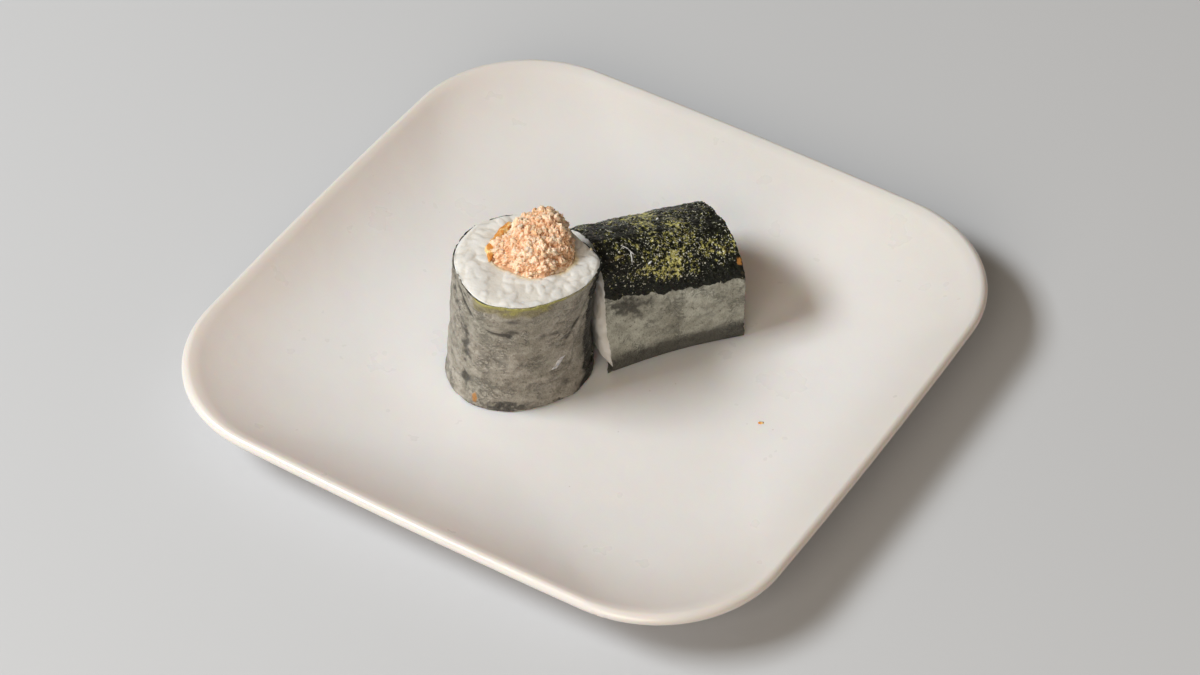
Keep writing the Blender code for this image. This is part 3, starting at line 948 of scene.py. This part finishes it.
def lying_tables(rows, round_mm, along_mm, pressed):
    """Where the lying sheet has painted reflection, yellowing, a tear and painted shade in creases.
    """
    height = (rows[..., 2] - rows[..., 2].min()) / MM
    share = along_mm / LENGTH_MM
    # Painted reflection: grey below a ragged edge on the front, and at the foot of the back.
    arris = 24.5 - 7.5 * share + 4.5 * share ** 2 + 1.1 * field(rows, 3.5 * MM, 9.0, 3)
    front = (round_mm < 40) | (round_mm > 111)
    bloom = np.where(front, smooth((arris - height) / 2.4 + 0.5), 0.0)
    back = smooth((14 - height + 3 * field(rows, 6 * MM, 1.0, 2)) / 5)
    bloom = np.where(front, bloom, 0.8 * back)
    bloom = np.where(height < 3, 0.75, bloom)
    # Worn thin along the middle of the top.
    top = smooth((height - arris) / 4)
    middle = bump(along_mm - 21 - 7 * field(rows, 12 * MM, 5.0), 12) * bump(height - 28.0, 7)
    stain = top * (0.15 + 0.8 * middle + 0.35 * field(rows, 6 * MM, 2.0))
    stain = stain - 0.45 * bump(height - arris - 2.5, 2.5) * front
    stain += 0.55 * bump(np.hypot(round_mm - 23, along_mm - 5), 2.2)
    stain += 0.3 * bump(np.hypot((height - 27) / 1.5, along_mm - 37), 3.0) * front
    spoil = bump(np.hypot((round_mm - 25.5) / 1.6, along_mm - 38.8), 1.1)
    # Painted shade in the creases and at the foot, and dark just under the ragged edge.
    hollow = np.clip(-pressed - 0.45, 0, 0.6)
    foot = smooth((9.3 - height) / 7) * (0.85 + 0.3 * share)
    foot = np.maximum(foot, smooth((1.8 - height) / 0.9)) * front
    hung = bump(arris - height - 2.2, 2.6) * (0.25 + 0.5 * bump(share, 0.3)) * front
    hung = hung + 0.4 * bump(np.hypot((along_mm - 8) / 1.7, height - 17), 4) * front
    hollow = hollow + hung * (0.9 + 1.3 * field(rows, 2.6 * MM, 17.0, 3))
    hollow = np.clip(np.maximum(hollow, foot), 0, 1)
    return {"bloom": bloom, "stain": stain, "spoil": spoil, "hollow": hollow}


class MAKI_OT_nori(bpy.types.Operator):
    """The seaweed sheet of both halves"""

    bl_idname = "maki.nori"
    bl_label = "Nori"

    def execute(self, context):
        settings = context.scene.maki_nori
        # Colours of the painted reflection and of its painted shade, one pair per half.
        warm = settings.warm_bloom, settings.warm_shade
        cool = settings.cool_bloom, settings.cool_shade
        standing = nori_material(settings, STANDING_TURN, "nori_standing", *warm)
        make_sheet(standing_half(), settings, standing_relief, standing_tables, standing)
        scatter_on(standing_half(), "nori_nub", NUB, standing, "nori")
        lying = nori_material(settings, LYING_TURN, "nori_lying", *cool)
        make_sheet(lying_half(), settings, lying_relief, lying_tables, lying)
        return {"FINISHED"}


# ---------------------------------------------------------------- rice


def pressed_grains(flat, seed, settings):
    """Height of a cut face of grains pressed into each other, at each section point."""
    draw = random.Random(seed)
    floor, cut, blend = -0.45 * MM, 0.05 * MM, 0.24 * MM
    low = flat.reshape(-1, 2).min(axis=0)
    high = flat.reshape(-1, 2).max(axis=0)
    total = np.full(flat.shape[:-1], math.exp(floor / blend))
    area = (high[0] - low[0]) * (high[1] - low[1])
    for _ in range(int(area / (2.0 * MM) ** 2)):
        at = np.array([draw.uniform(low[0], high[0]), draw.uniform(low[1], high[1])])
        turn = draw.uniform(0, math.pi)
        long = settings.grain_length / 2 * draw.uniform(0.5, 1.05)
        wide = settings.grain_width / 2 * draw.uniform(0.85, 1.1)
        deep = draw.uniform(-1.6, -1.0) * MM
        apart = flat - at
        x = (apart[..., 0] * math.cos(turn) + apart[..., 1] * math.sin(turn)) / long
        y = (apart[..., 1] * math.cos(turn) - apart[..., 0] * math.sin(turn)) / wide
        inside = np.clip(1 - x * x - y * y, 0, 1)
        height = deep + wide * np.sqrt(inside)
        total = total + np.where(inside > 0, np.exp(height / blend), 0)
    height = np.log(total) * blend
    return cut - np.log(1 + np.exp((cut - height) / (0.12 * MM))) * 0.12 * MM


# Points round the rice, and rings over a cut face, along its hole and along its outer wall.
RICE_COLUMNS, RICE_RINGS, HOLE_ROWS, WALL_ROWS = 520, 44, 5, 12
HOLE_FINE = 2400
EDGE_GRAINS = 56


def unfolded(ring, middle):
    """The ring without the places where it turns back on its way round the middle."""
    angles = np.unwrap(np.arctan2(*(ring - middle).T[::-1]))
    angles = (angles - angles[0]) * np.sign(angles[-1] - angles[0])
    furthest = np.concatenate([[-1.0], np.maximum.accumulate(angles)[:-1]])
    kept = (angles > furthest) & (angles <= angles[-1])
    index = np.arange(len(ring))
    return np.stack([np.interp(index, index[kept], ring[kept, axis]) for axis in (0, 1)], axis=1)


def rice_face(half, share, side, filling, settings, dome):
    """Rows over one cut face from sheet to filling, with their hollow (painted shade) and stain."""
    ways = np.linspace(0, 1, RICE_COLUMNS)
    past = (ways - half.seam + 0.5) % 1.0 - 0.5
    lapped = smooth((past + OVERLAP + CLIMB) / CLIMB) * (1 - smooth(past / CLIMB))
    outer = half.outline(ways, share, 0.42 * MM + LAP * lapped, softening=1)
    angles = np.linspace(0, TURN, HOLE_FINE, endpoint=False)
    fine = half.filling_ring(share, angles, filling.width / MM, filling.height / MM, 0.15 * MM)
    middle = fine.mean(axis=0)
    outer = unfolded(outer, middle)
    known = np.arctan2(*(fine - middle).T[::-1])
    wanted = np.arctan2(*(outer - middle).T[::-1])
    pick = [int(np.argmin(np.abs(np.angle(np.exp(1j * (known - angle)))))) for angle in wanted]
    inner = fine[pick]
    reach = np.linspace(0, 1, RICE_RINGS)[:, None]
    flat = between(outer, inner, reach[..., None])
    flat[:, -1] = flat[:, 0]
    grains = pressed_grains(flat, half.name + str(share), settings)
    rise = dome * np.sin(np.clip(reach * 3, 0, 1) * math.pi / 2)
    if half.name == "lying":
        # The near column of rice swells most where it is free, low down.
        rise = rise * (1 - 0.55 * smooth((flat[..., 1] - 14 * MM) / (12 * MM)))
    lift = 0.6 * MM * field(np.dstack([flat, np.full(flat.shape[:2], share)]), 7 * MM, 3.0 + share)
    if half.name == "standing" and side > 0:
        # The top rises towards its back, where the rice hangs over the sheet.
        edge = smooth(reach / 0.12)
        back = smooth(flat[..., 1] / (14 * MM))
        over = between(edge, 1.0, smooth((flat[..., 1] - 9 * MM) / (5 * MM)))
        rise = rise + (0.1 + 0.2 * edge + 1.0 * back * over) * MM
    bumpy = grains * (0.3 + 0.35 * smooth(reach / 0.06))
    forward = side * (rise + lift * smooth(reach / 0.15) + bumpy)
    rows = half.place(flat, np.full(flat.shape[:2], share), forward)
    # Painted shade where the grains dip.
    hollow = np.clip(-0.1 - grains / (0.5 * MM), 0, 1)
    apart = np.linalg.norm(flat - inner, axis=-1)
    stain = bump(apart, 1.6 * MM) * (0.55 + 0.45 * field(rows, 5 * MM, 8.0))
    return list(rows), list(hollow), list(stain)


def make_rice(half, settings, filling, material):
    """A thick tube of rice whose two cut faces show the grains."""
    near_dome, far_dome = (-0.2, 0.45) if half.name == "standing" else (1.9, 0.6)
    near = rice_face(half, 0.0, -1, filling, settings, near_dome * MM)
    far = rice_face(half, 1.0, 1, filling, settings, far_dome * MM)
    hole = [between(near[0][-1], far[0][-1], s) for s in np.linspace(0.1, 0.9, HOLE_ROWS)]
    ways = np.linspace(0, 1, RICE_COLUMNS)
    wall = []
    for share in np.linspace(0.97, 0.03, WALL_ROWS):
        inset = 2.2 * MM if 0.1 < share < 0.9 else 1.2 * MM
        flat = half.outline(ways, share, inset, softening=2)
        wall.append(half.place(flat, np.full(RICE_COLUMNS, share)))
    rows = near[0] + hole + far[0][::-1] + wall + near[0][:1]
    clean, stained = [np.zeros(RICE_COLUMNS)], [np.ones(RICE_COLUMNS)]
    hollow = near[1] + clean * HOLE_ROWS + far[1][::-1] + clean * WALL_ROWS + near[1][:1]
    stain = near[2] + stained * HOLE_ROWS + far[2][::-1] + clean * WALL_ROWS + near[2][:1]
    tables = {"hollow": hollow, "stain": stain, "tone": np.zeros_like(hollow)}
    obj = grid_mesh(f"{half.name}_rice_body", rows, attributes=tables)
    return add_piece(obj, material, "rice", f"{half.name}_rice")


class Lumps:
    """A mesh of many small rounded lumps, each with its own attribute values."""

    def __init__(self, *keys):
        self.keys = keys
        self.all = bmesh.new()
        self.scratch = bpy.data.meshes.new("scratch")

    def add(self, matrix, values, around, up, wobble=0.0, seed=0.0):
        """Adds one lump of this many faces round and up, uneven by wobble."""
        bm = bmesh.new()
        layers = [bm.verts.layers.float.new(key) for key in self.keys]
        bmesh.ops.create_uvsphere(bm, u_segments=around, v_segments=up, radius=1.0)
        for vert in bm.verts:
            if wobble:
                vert.co *= 1 + wobble * noise.noise(vert.co * 1.3 + Vector((seed, 2 * seed, 0)))
            for layer, value in zip(layers, values):
                vert[layer] = value
        bmesh.ops.transform(bm, matrix=matrix, verts=bm.verts)
        bm.to_mesh(self.scratch)
        bm.free()
        self.all.from_mesh(self.scratch)

    def finish(self, name):
        """Turns the lumps into one object in the scene."""
        bpy.data.meshes.remove(self.scratch)
        return finish_mesh(name, self.all)


def aligned(at, forward, normal, sizes):
    """A matrix that puts Z along forward and X near normal, with these half sizes."""
    z = Vector(forward).normalized()
    x = (Vector(normal) - z * Vector(normal).dot(z)).normalized()
    y = z.cross(x)
    turn = Matrix((x, y, z)).transposed().to_4x4()
    return Matrix.Translation(Vector(at)) @ turn @ Matrix.Diagonal((*sizes, 1.0))


def make_grains(half, settings, material):
    """Grains pressed into the cut faces along their edges, which stand a little proud."""
    draw = random.Random("grains" + half.name)
    lumps = Lumps("tone", "hollow", "stain")
    ends = ((1.0, 1),) if half.name == "standing" else ((0.0, -1), (1.0, 1))
    for share, side in ends:
        ahead = half.along * side
        for index in range(EDGE_GRAINS):
            way = (index + draw.uniform(-0.5, 0.5)) / EDGE_GRAINS
            depth = draw.uniform(2.1, 4.5) * MM
            flat = half.outline([way, way + 0.004], share, depth)
            at, beyond = half.place(flat, np.array([share, share]))
            if at[2] < half.start[2] + 4 * MM:
                continue
            tangent = beyond - at
            tangent /= np.linalg.norm(tangent)
            inward = np.cross(tangent, ahead)
            swing = draw.uniform(-0.5, 0.5)
            forward = tangent * math.cos(swing) + inward * math.sin(swing)
            forward = forward + ahead * draw.uniform(-0.2, 0.2)
            rise = draw.uniform(-1.25, -0.95) * MM
            if half.name == "standing":
                rise += 0.25 * MM + 0.9 * MM * float(smooth(flat[0, 1] / (14 * MM)))
            wide = settings.grain_width / 2 * draw.uniform(0.8, 1.05)
            long = settings.grain_length / 2 * draw.uniform(0.5, 0.9)
            matrix = aligned(at + ahead * rise, forward, ahead, (wide, wide, long))
            lumps.add(matrix, (draw.random(), 0.0, 0.0), 12, 8)
    return add_piece(lumps.finish(f"{half.name}_rice_grains"), material, "rice")


def wall_matrix(half, way, share, lift, swing, sizes):
    """A matrix for a lump lying on the sheet, its length turned by swing from the way round."""
    flat = half.outline([way, way + 0.004], share, -lift)
    at, beyond = half.place(flat, np.array([share, share]))
    tangent = beyond - at
    tangent /= np.linalg.norm(tangent)
    forward = tangent * math.cos(swing) + half.along * math.sin(swing)
    return aligned(at, forward, np.cross(tangent, half.along), sizes)


def scatter_on(half, name, places, material, slot, stain=0.0):
    """Small bits on the sheet: way round, share along, lift in mm, swing, half sizes in mm."""
    lumps = Lumps("tone", "hollow", "stain", "bloom", "spoil")
    for index, (way, share, lift, swing, *sizes) in enumerate(places):
        matrix = wall_matrix(half, way, share, lift * MM, swing, [size * MM for size in sizes])
        lumps.add(matrix, (0.6, 0.0, stain, 0.0, 0.0), 12, 8, 0.5, index * 1.7)
    return add_piece(lumps.finish(name), material, slot)


# Rice smeared on the standing half, light shreds on the top of the lying one, an olive scrap at
# the standing half's rim and a dark one low between the halves. Each bit is the share of the way
# round, the share along, the lift, the swing in radians and three half sizes.
SMEAR = (
    (0.872, 0.405, 0.0, 0.6, 0.14, 0.7, 1.2), (0.864, 0.375, 0.0, 0.8, 0.15, 0.85, 1.3),
    (0.857, 0.345, 0.0, 0.9, 0.14, 0.7, 1.1), (0.852, 0.335, 0.0, 0.3, 0.12, 0.5, 1.1),
)
SHREDS = (
    (0.310, 0.20, 0.10, -0.9, 0.16, 0.2, 1.3), (0.296, 0.235, 0.12, 2.6, 0.16, 0.2, 1.2),
    (0.283, 0.23, 0.12, 0.1, 0.15, 0.18, 1.5), (0.274, 0.225, 0.08, 0.2, 0.15, 0.2, 0.9),
    (0.405, 0.58, 0.12, 0.7, 0.2, 0.3, 0.7), (0.262, 0.35, 0.1, 1.2, 0.18, 0.25, 0.6),
    (0.300, 0.62, 0.1, 0.4, 0.15, 0.2, 0.5), (0.246, 0.50, 0.1, 0.9, 0.15, 0.2, 0.6),
)
OLIVE_BIT = ((0.040, 0.985, -0.6, 1.3, 0.5, 0.7, 1.5), (0.052, 1.0, -1.4, 0.4, 0.45, 0.6, 1.1))
NUB = ((0.992, 0.13, 0.5, 1.0, 0.6, 0.6, 1.0), (0.986, 0.10, 0.35, 0.4, 0.4, 0.5, 0.8))


class MAKI_OT_rice(bpy.types.Operator):
    """The rice of both halves, with the grains that show"""

    bl_idname = "maki.rice"
    bl_label = "Rice"

    def execute(self, context):
        settings, filling = context.scene.maki_rice, context.scene.maki_filling
        material = rice_material(settings)
        for half in (standing_half(), lying_half()):
            make_rice(half, settings, filling, material)
            make_grains(half, settings, material)
        scatter_on(standing_half(), "rice_smear", SMEAR, material, "rice")
        scatter_on(standing_half(), "olive_bit", OLIVE_BIT, material, "rice", 1.0)
        scatter_on(lying_half(), "light_shreds", SHREDS, material, "rice")
        return {"FINISHED"}


# ---------------------------------------------------------------- filling


def heap_rows(half, share, side, height, peak, settings, columns, count):
    """Rows over the end of the filling, drawn in towards its peak as they rise."""
    angles = np.linspace(0, TURN, columns)
    flat = half.filling_ring(share, angles, settings.width / MM, settings.height / MM)
    edge = half.place(flat, np.full(columns, share))
    middle = edge[:-1].mean(axis=0)
    summit = middle + half.across * peak[0] + half.up * peak[1]
    rows = []
    fuller = 1.0 - 0.3 * np.cos(angles - 0.7)[:, None]
    for turn in np.linspace(0, math.pi / 2, count):
        drawn = edge + (summit - edge) * (1 - math.cos(turn))
        knob = 0.2 * height * bump(np.linalg.norm(drawn - summit, axis=1)[:, None], 3.6 * MM)
        rows.append(drawn + half.along * side * (height * math.sin(turn) ** fuller + knob))
    return rows


def make_filling(half, settings, material):
    """The filling: a rod through the rice, flaky where it shows, heaped on the standing half."""
    standing = half.name == "standing"
    columns, near_rows, far_rows = (400, 12, 150) if standing else (300, 76, 76)
    heap = settings.heap if standing else 0.8 * MM
    peak = (4.0 * MM, 4.5 * MM) if standing else (0.0, 0.0)
    far = heap_rows(half, 1.0, 1, heap, peak, settings, columns, far_rows)
    near = heap_rows(half, 0.0, -1, -0.2 * MM, (0, 0), settings, columns, near_rows)
    body = [between(near[0], far[0], s) for s in np.linspace(0.05, 0.95, 12)]
    rows = np.array(near[::-1] + body + far)
    shown = np.zeros(rows.shape[:2])
    shown[:len(near)] = 0.0 if standing else 1.0
    shown[-len(far):] = 1.0
    bend = [field(rows, 2.5 * MM, seed, 2) for seed in (3.0, 13.0, 23.0)]
    bent = rows + 0.7 * MM * np.stack(bend, axis=-1)
    chunks = crackle(bent, 3.6 * MM, 2.0)
    fine = crackle(bent, 1.3 * MM, 7.0)
    fibres = field(rows, 0.9 * MM, 4.0, 3)
    relief = (smooth(chunks / 0.65) - 0.7) * 1.15 + (smooth(fine / 0.55) - 0.6) * 0.5 + fibres * 0.5
    sunk = 1 - smooth((relief + 1.1) / 1.4)
    flaky, lumpy = (1.0, 1.3) if standing else (0.45, 0.3)
    relief = relief * flaky + field(rows, 6 * MM, 31.0) * lumpy
    rim = smooth(np.arange(len(far)) / 10.0)[:, None]
    if standing:
        relief[-len(far):] = between(0.35, relief[-len(far):], rim)
    normals = outward(rows)
    rows = rows + normals * (relief * MM * shown)[..., None]
    # Painted shade in the cracks between chunks and in low places.
    hollow = np.clip(0.95 - 1.2 * smooth(chunks / 0.35) * (0.5 + 0.5 * smooth(fine / 0.3)), 0, 1)
    hollow = np.maximum(hollow, 0.9 * sunk) * shown * (0.85 if standing else 0.5)
    tone = np.zeros_like(hollow)
    rows[-1] = rows[-1][:-1].mean(axis=0)
    rows[0] = rows[0][:-1].mean(axis=0)
    rows[:, -1] = rows[:, 0]
    obj = grid_mesh(f"{half.name}_fish", rows, attributes={"hollow": hollow, "tone": tone})
    add_piece(obj, material, "filling", f"{half.name}_filling")
    faces = [(rows[-len(far):], normals[-len(far):])]
    if not standing:
        faces.append((rows[:len(near)], normals[:len(near)]))
    make_flakes(half, faces, material)


def make_flakes(half, faces, material):
    """Loose flakes and shreds lying in the surface of the filling."""
    draw = random.Random("flakes" + half.name)
    lumps = Lumps("tone", "hollow")
    count = 190 if half.name == "standing" else 110
    for rows, normals in faces:
        area = np.cross(np.gradient(rows, axis=1), np.gradient(rows, axis=0))
        area = np.linalg.norm(area, axis=-1)
        pick = np.cumsum(area.reshape(-1))
        for index in range(count):
            at = int(np.searchsorted(pick, draw.random() * pick[-1]))
            point, normal = Vector(rows.reshape(-1, 3)[at]), Vector(normals.reshape(-1, 3)[at])
            loose = Vector((draw.gauss(0, 1), draw.gauss(0, 1), draw.gauss(0, 1)))
            forward = loose - normal * loose.dot(normal) * draw.uniform(0.75, 1.0)
            long = draw.uniform(0.6, 1.6) * MM
            wide = draw.uniform(0.4, 0.8) * MM
            thick = wide * draw.uniform(0.4, 0.6)
            sink = point + normal * draw.uniform(-0.45, -0.2) * MM
            matrix = aligned(sink, forward, normal, (thick, wide, long))
            lumps.add(matrix, (draw.random(), 0.45), 8, 6, 0.55, index)
    return add_piece(lumps.finish(f"{half.name}_flakes"), material, "filling")


STRIP_WIDTHS = (0.8, 1.2, 1.4, 1.1, 1.0, 1.3, 1.6, 1.4, 0.8)
STRIP_VOXEL = 0.2 * MM


def make_strip(half, settings, material):
    """The orange strip along the left of the heap."""
    lumps = Lumps()
    count = len(STRIP_WIDTHS)
    angles = np.radians(np.linspace(135, 192, count))
    path = half.filling_ring(1.0, angles, settings.width / MM, settings.height / MM, -0.1 * MM)
    points = half.place(path, np.ones(count), np.linspace(2.2, 1.0, count) * MM)
    for index, (point, width) in enumerate(zip(points, STRIP_WIDTHS)):
        ahead = points[min(index + 1, count - 1)] - points[max(index - 1, 0)]
        matrix = aligned(point, ahead, half.along, (0.7 * MM, width * MM, 2.2 * MM))
        lumps.add(matrix, (), 16, 12, 0.55, index * 0.7)
    strip = lumps.finish("orange_strip")
    remesh = strip.modifiers.new("join", "REMESH")
    remesh.mode = "VOXEL"
    remesh.voxel_size = STRIP_VOXEL
    remesh.use_smooth_shade = True
    return add_piece(strip, material, "filling")


def make_crumb(material):
    """A yellow crumb on the plate, in front of the lying half."""
    lumps = Lumps()
    turn = Matrix.Rotation(STANDING_TURN, 3, "Z")
    at = turn @ Vector((47.6, -30.0, 0)) * MM
    at.z = standing_half().start[2] + 0.25 * MM
    matrix = aligned(at, (1, 0.4, 0), (0, 0, 1), (0.35 * MM, 0.5 * MM, 0.75 * MM))
    lumps.add(matrix, (), 14, 10, 0.6, 2.0)
    return add_piece(lumps.finish("crumb"), material, "filling")


class MAKI_OT_filling(bpy.types.Operator):
    """The flaked fish of both halves, with the orange strip beside it"""

    bl_idname = "maki.filling"
    bl_label = "Filling"

    def execute(self, context):
        settings = context.scene.maki_filling
        material = filling_material(settings)
        for half in (standing_half(), lying_half()):
            make_filling(half, settings, material)
        sweet = sauce_material(settings)
        make_strip(standing_half(), settings, sweet)
        make_crumb(sweet)
        return {"FINISHED"}


# ---------------------------------------------------------------- stage


# The lamps' distance, half the floor's side, and where the camera aims, as the camera is turned.
LAMP_AWAY = 2.0
FLOOR_HALF = 4.0
AIMED_AT_MM = (2.92, -8.07, 17.0)


def add_lamp(name, toward, **settings):
    """An area lamp that shines on the plate from this direction."""
    lamp = bpy.data.lights.new(name, "AREA")
    for key, value in settings.items():
        setattr(lamp, key, value)
    holder = bpy.data.objects.new(name, lamp)
    bpy.context.scene.collection.objects.link(holder)
    toward = toward.normalized()
    holder.location = toward * LAMP_AWAY
    holder.rotation_euler = toward.to_track_quat("Z", "Y").to_euler()


class MAKI_OT_stage(bpy.types.Operator):
    """Camera, soft light and plain floor"""

    bl_idname = "maki.stage"
    bl_label = "Stage"

    def execute(self, context):
        settings = context.scene.maki_stage
        scene = context.scene
        bm = bmesh.new()
        bmesh.ops.create_grid(bm, x_segments=1, y_segments=1, size=FLOOR_HALF)
        floor = finish_mesh("floor", bm)
        graph = Graph("floor", Roughness=0.85)
        graph.feed(Base_Color=settings.floor)
        floor.data.materials.append(graph.material)

        azimuth, elevation = settings.azimuth, settings.elevation
        turn = Matrix.Rotation(azimuth, 3, "Z")
        back = turn @ Vector((0, -math.cos(elevation), math.sin(elevation)))
        target = turn @ Vector(AIMED_AT_MM) * MM
        camera = bpy.data.cameras.new("camera")
        camera.lens = settings.lens
        camera.sensor_width = 36.0
        camera.clip_end = 20.0
        holder = bpy.data.objects.new("camera", camera)
        scene.collection.objects.link(holder)
        holder.location = target + back * settings.distance
        facing = back.to_track_quat("Z", "Y").to_matrix() @ Matrix.Rotation(settings.roll, 3, "Z")
        holder.rotation_euler = facing.to_euler()
        scene.camera = holder

        add_lamp(
            "key", turn @ Vector((-0.70, -0.10, 0.70)), energy=settings.key_power,
            color=settings.key, shape="RECTANGLE", size=settings.key_width,
            size_y=settings.key_height,
        )
        add_lamp(
            "front", turn @ Vector((-0.3, -0.84, 0.45)), energy=settings.front_power,
            color=settings.front, shape="DISK", size=settings.front_size,
        )

        world = bpy.data.worlds.new("sky")
        world.use_nodes = True
        sky = world.node_tree.nodes["Background"]
        sky.inputs["Color"].default_value = (*settings.sky, 1.0)
        sky.inputs["Strength"].default_value = settings.sky_power
        scene.world = world
        scene.view_settings.view_transform = "Standard"
        return {"FINISHED"}


class MAKI_PT_panel(bpy.types.Panel):
    """Lists the pieces in the 3D view's sidebar"""

    bl_idname = "MAKI_PT_panel"
    bl_label = "Maki Roll"
    bl_space_type = "VIEW_3D"
    bl_region_type = "UI"
    bl_category = "Maki"

    def draw(self, context):
        for operator in OPERATORS:
            self.layout.operator(operator.bl_idname)
        for name, group in GROUPS.items():
            box = self.layout.box()
            settings = getattr(context.scene, name)
            for key in group.__annotations__:
                box.prop(settings, key)


OPERATORS = (MAKI_OT_plate, MAKI_OT_nori, MAKI_OT_rice, MAKI_OT_filling, MAKI_OT_stage)
GROUPS = {
    "maki_plate": PlateSettings,
    "maki_nori": NoriSettings,
    "maki_rice": RiceSettings,
    "maki_filling": FillingSettings,
    "maki_stage": StageSettings,
}


def register():
    for cls in (*GROUPS.values(), *OPERATORS, MAKI_PT_panel):
        bpy.utils.register_class(cls)
    for name, group in GROUPS.items():
        setattr(bpy.types.Scene, name, bpy.props.PointerProperty(type=group))


def unregister():
    for name in GROUPS:
        delattr(bpy.types.Scene, name)
    for cls in reversed((*GROUPS.values(), *OPERATORS, MAKI_PT_panel)):
        bpy.utils.unregister_class(cls)


def main():
    register()
    bpy.ops.maki.stage()
    bpy.ops.maki.plate()
    bpy.ops.maki.nori()
    bpy.ops.maki.rice()
    bpy.ops.maki.filling()


if __name__ == "__main__":
    main()
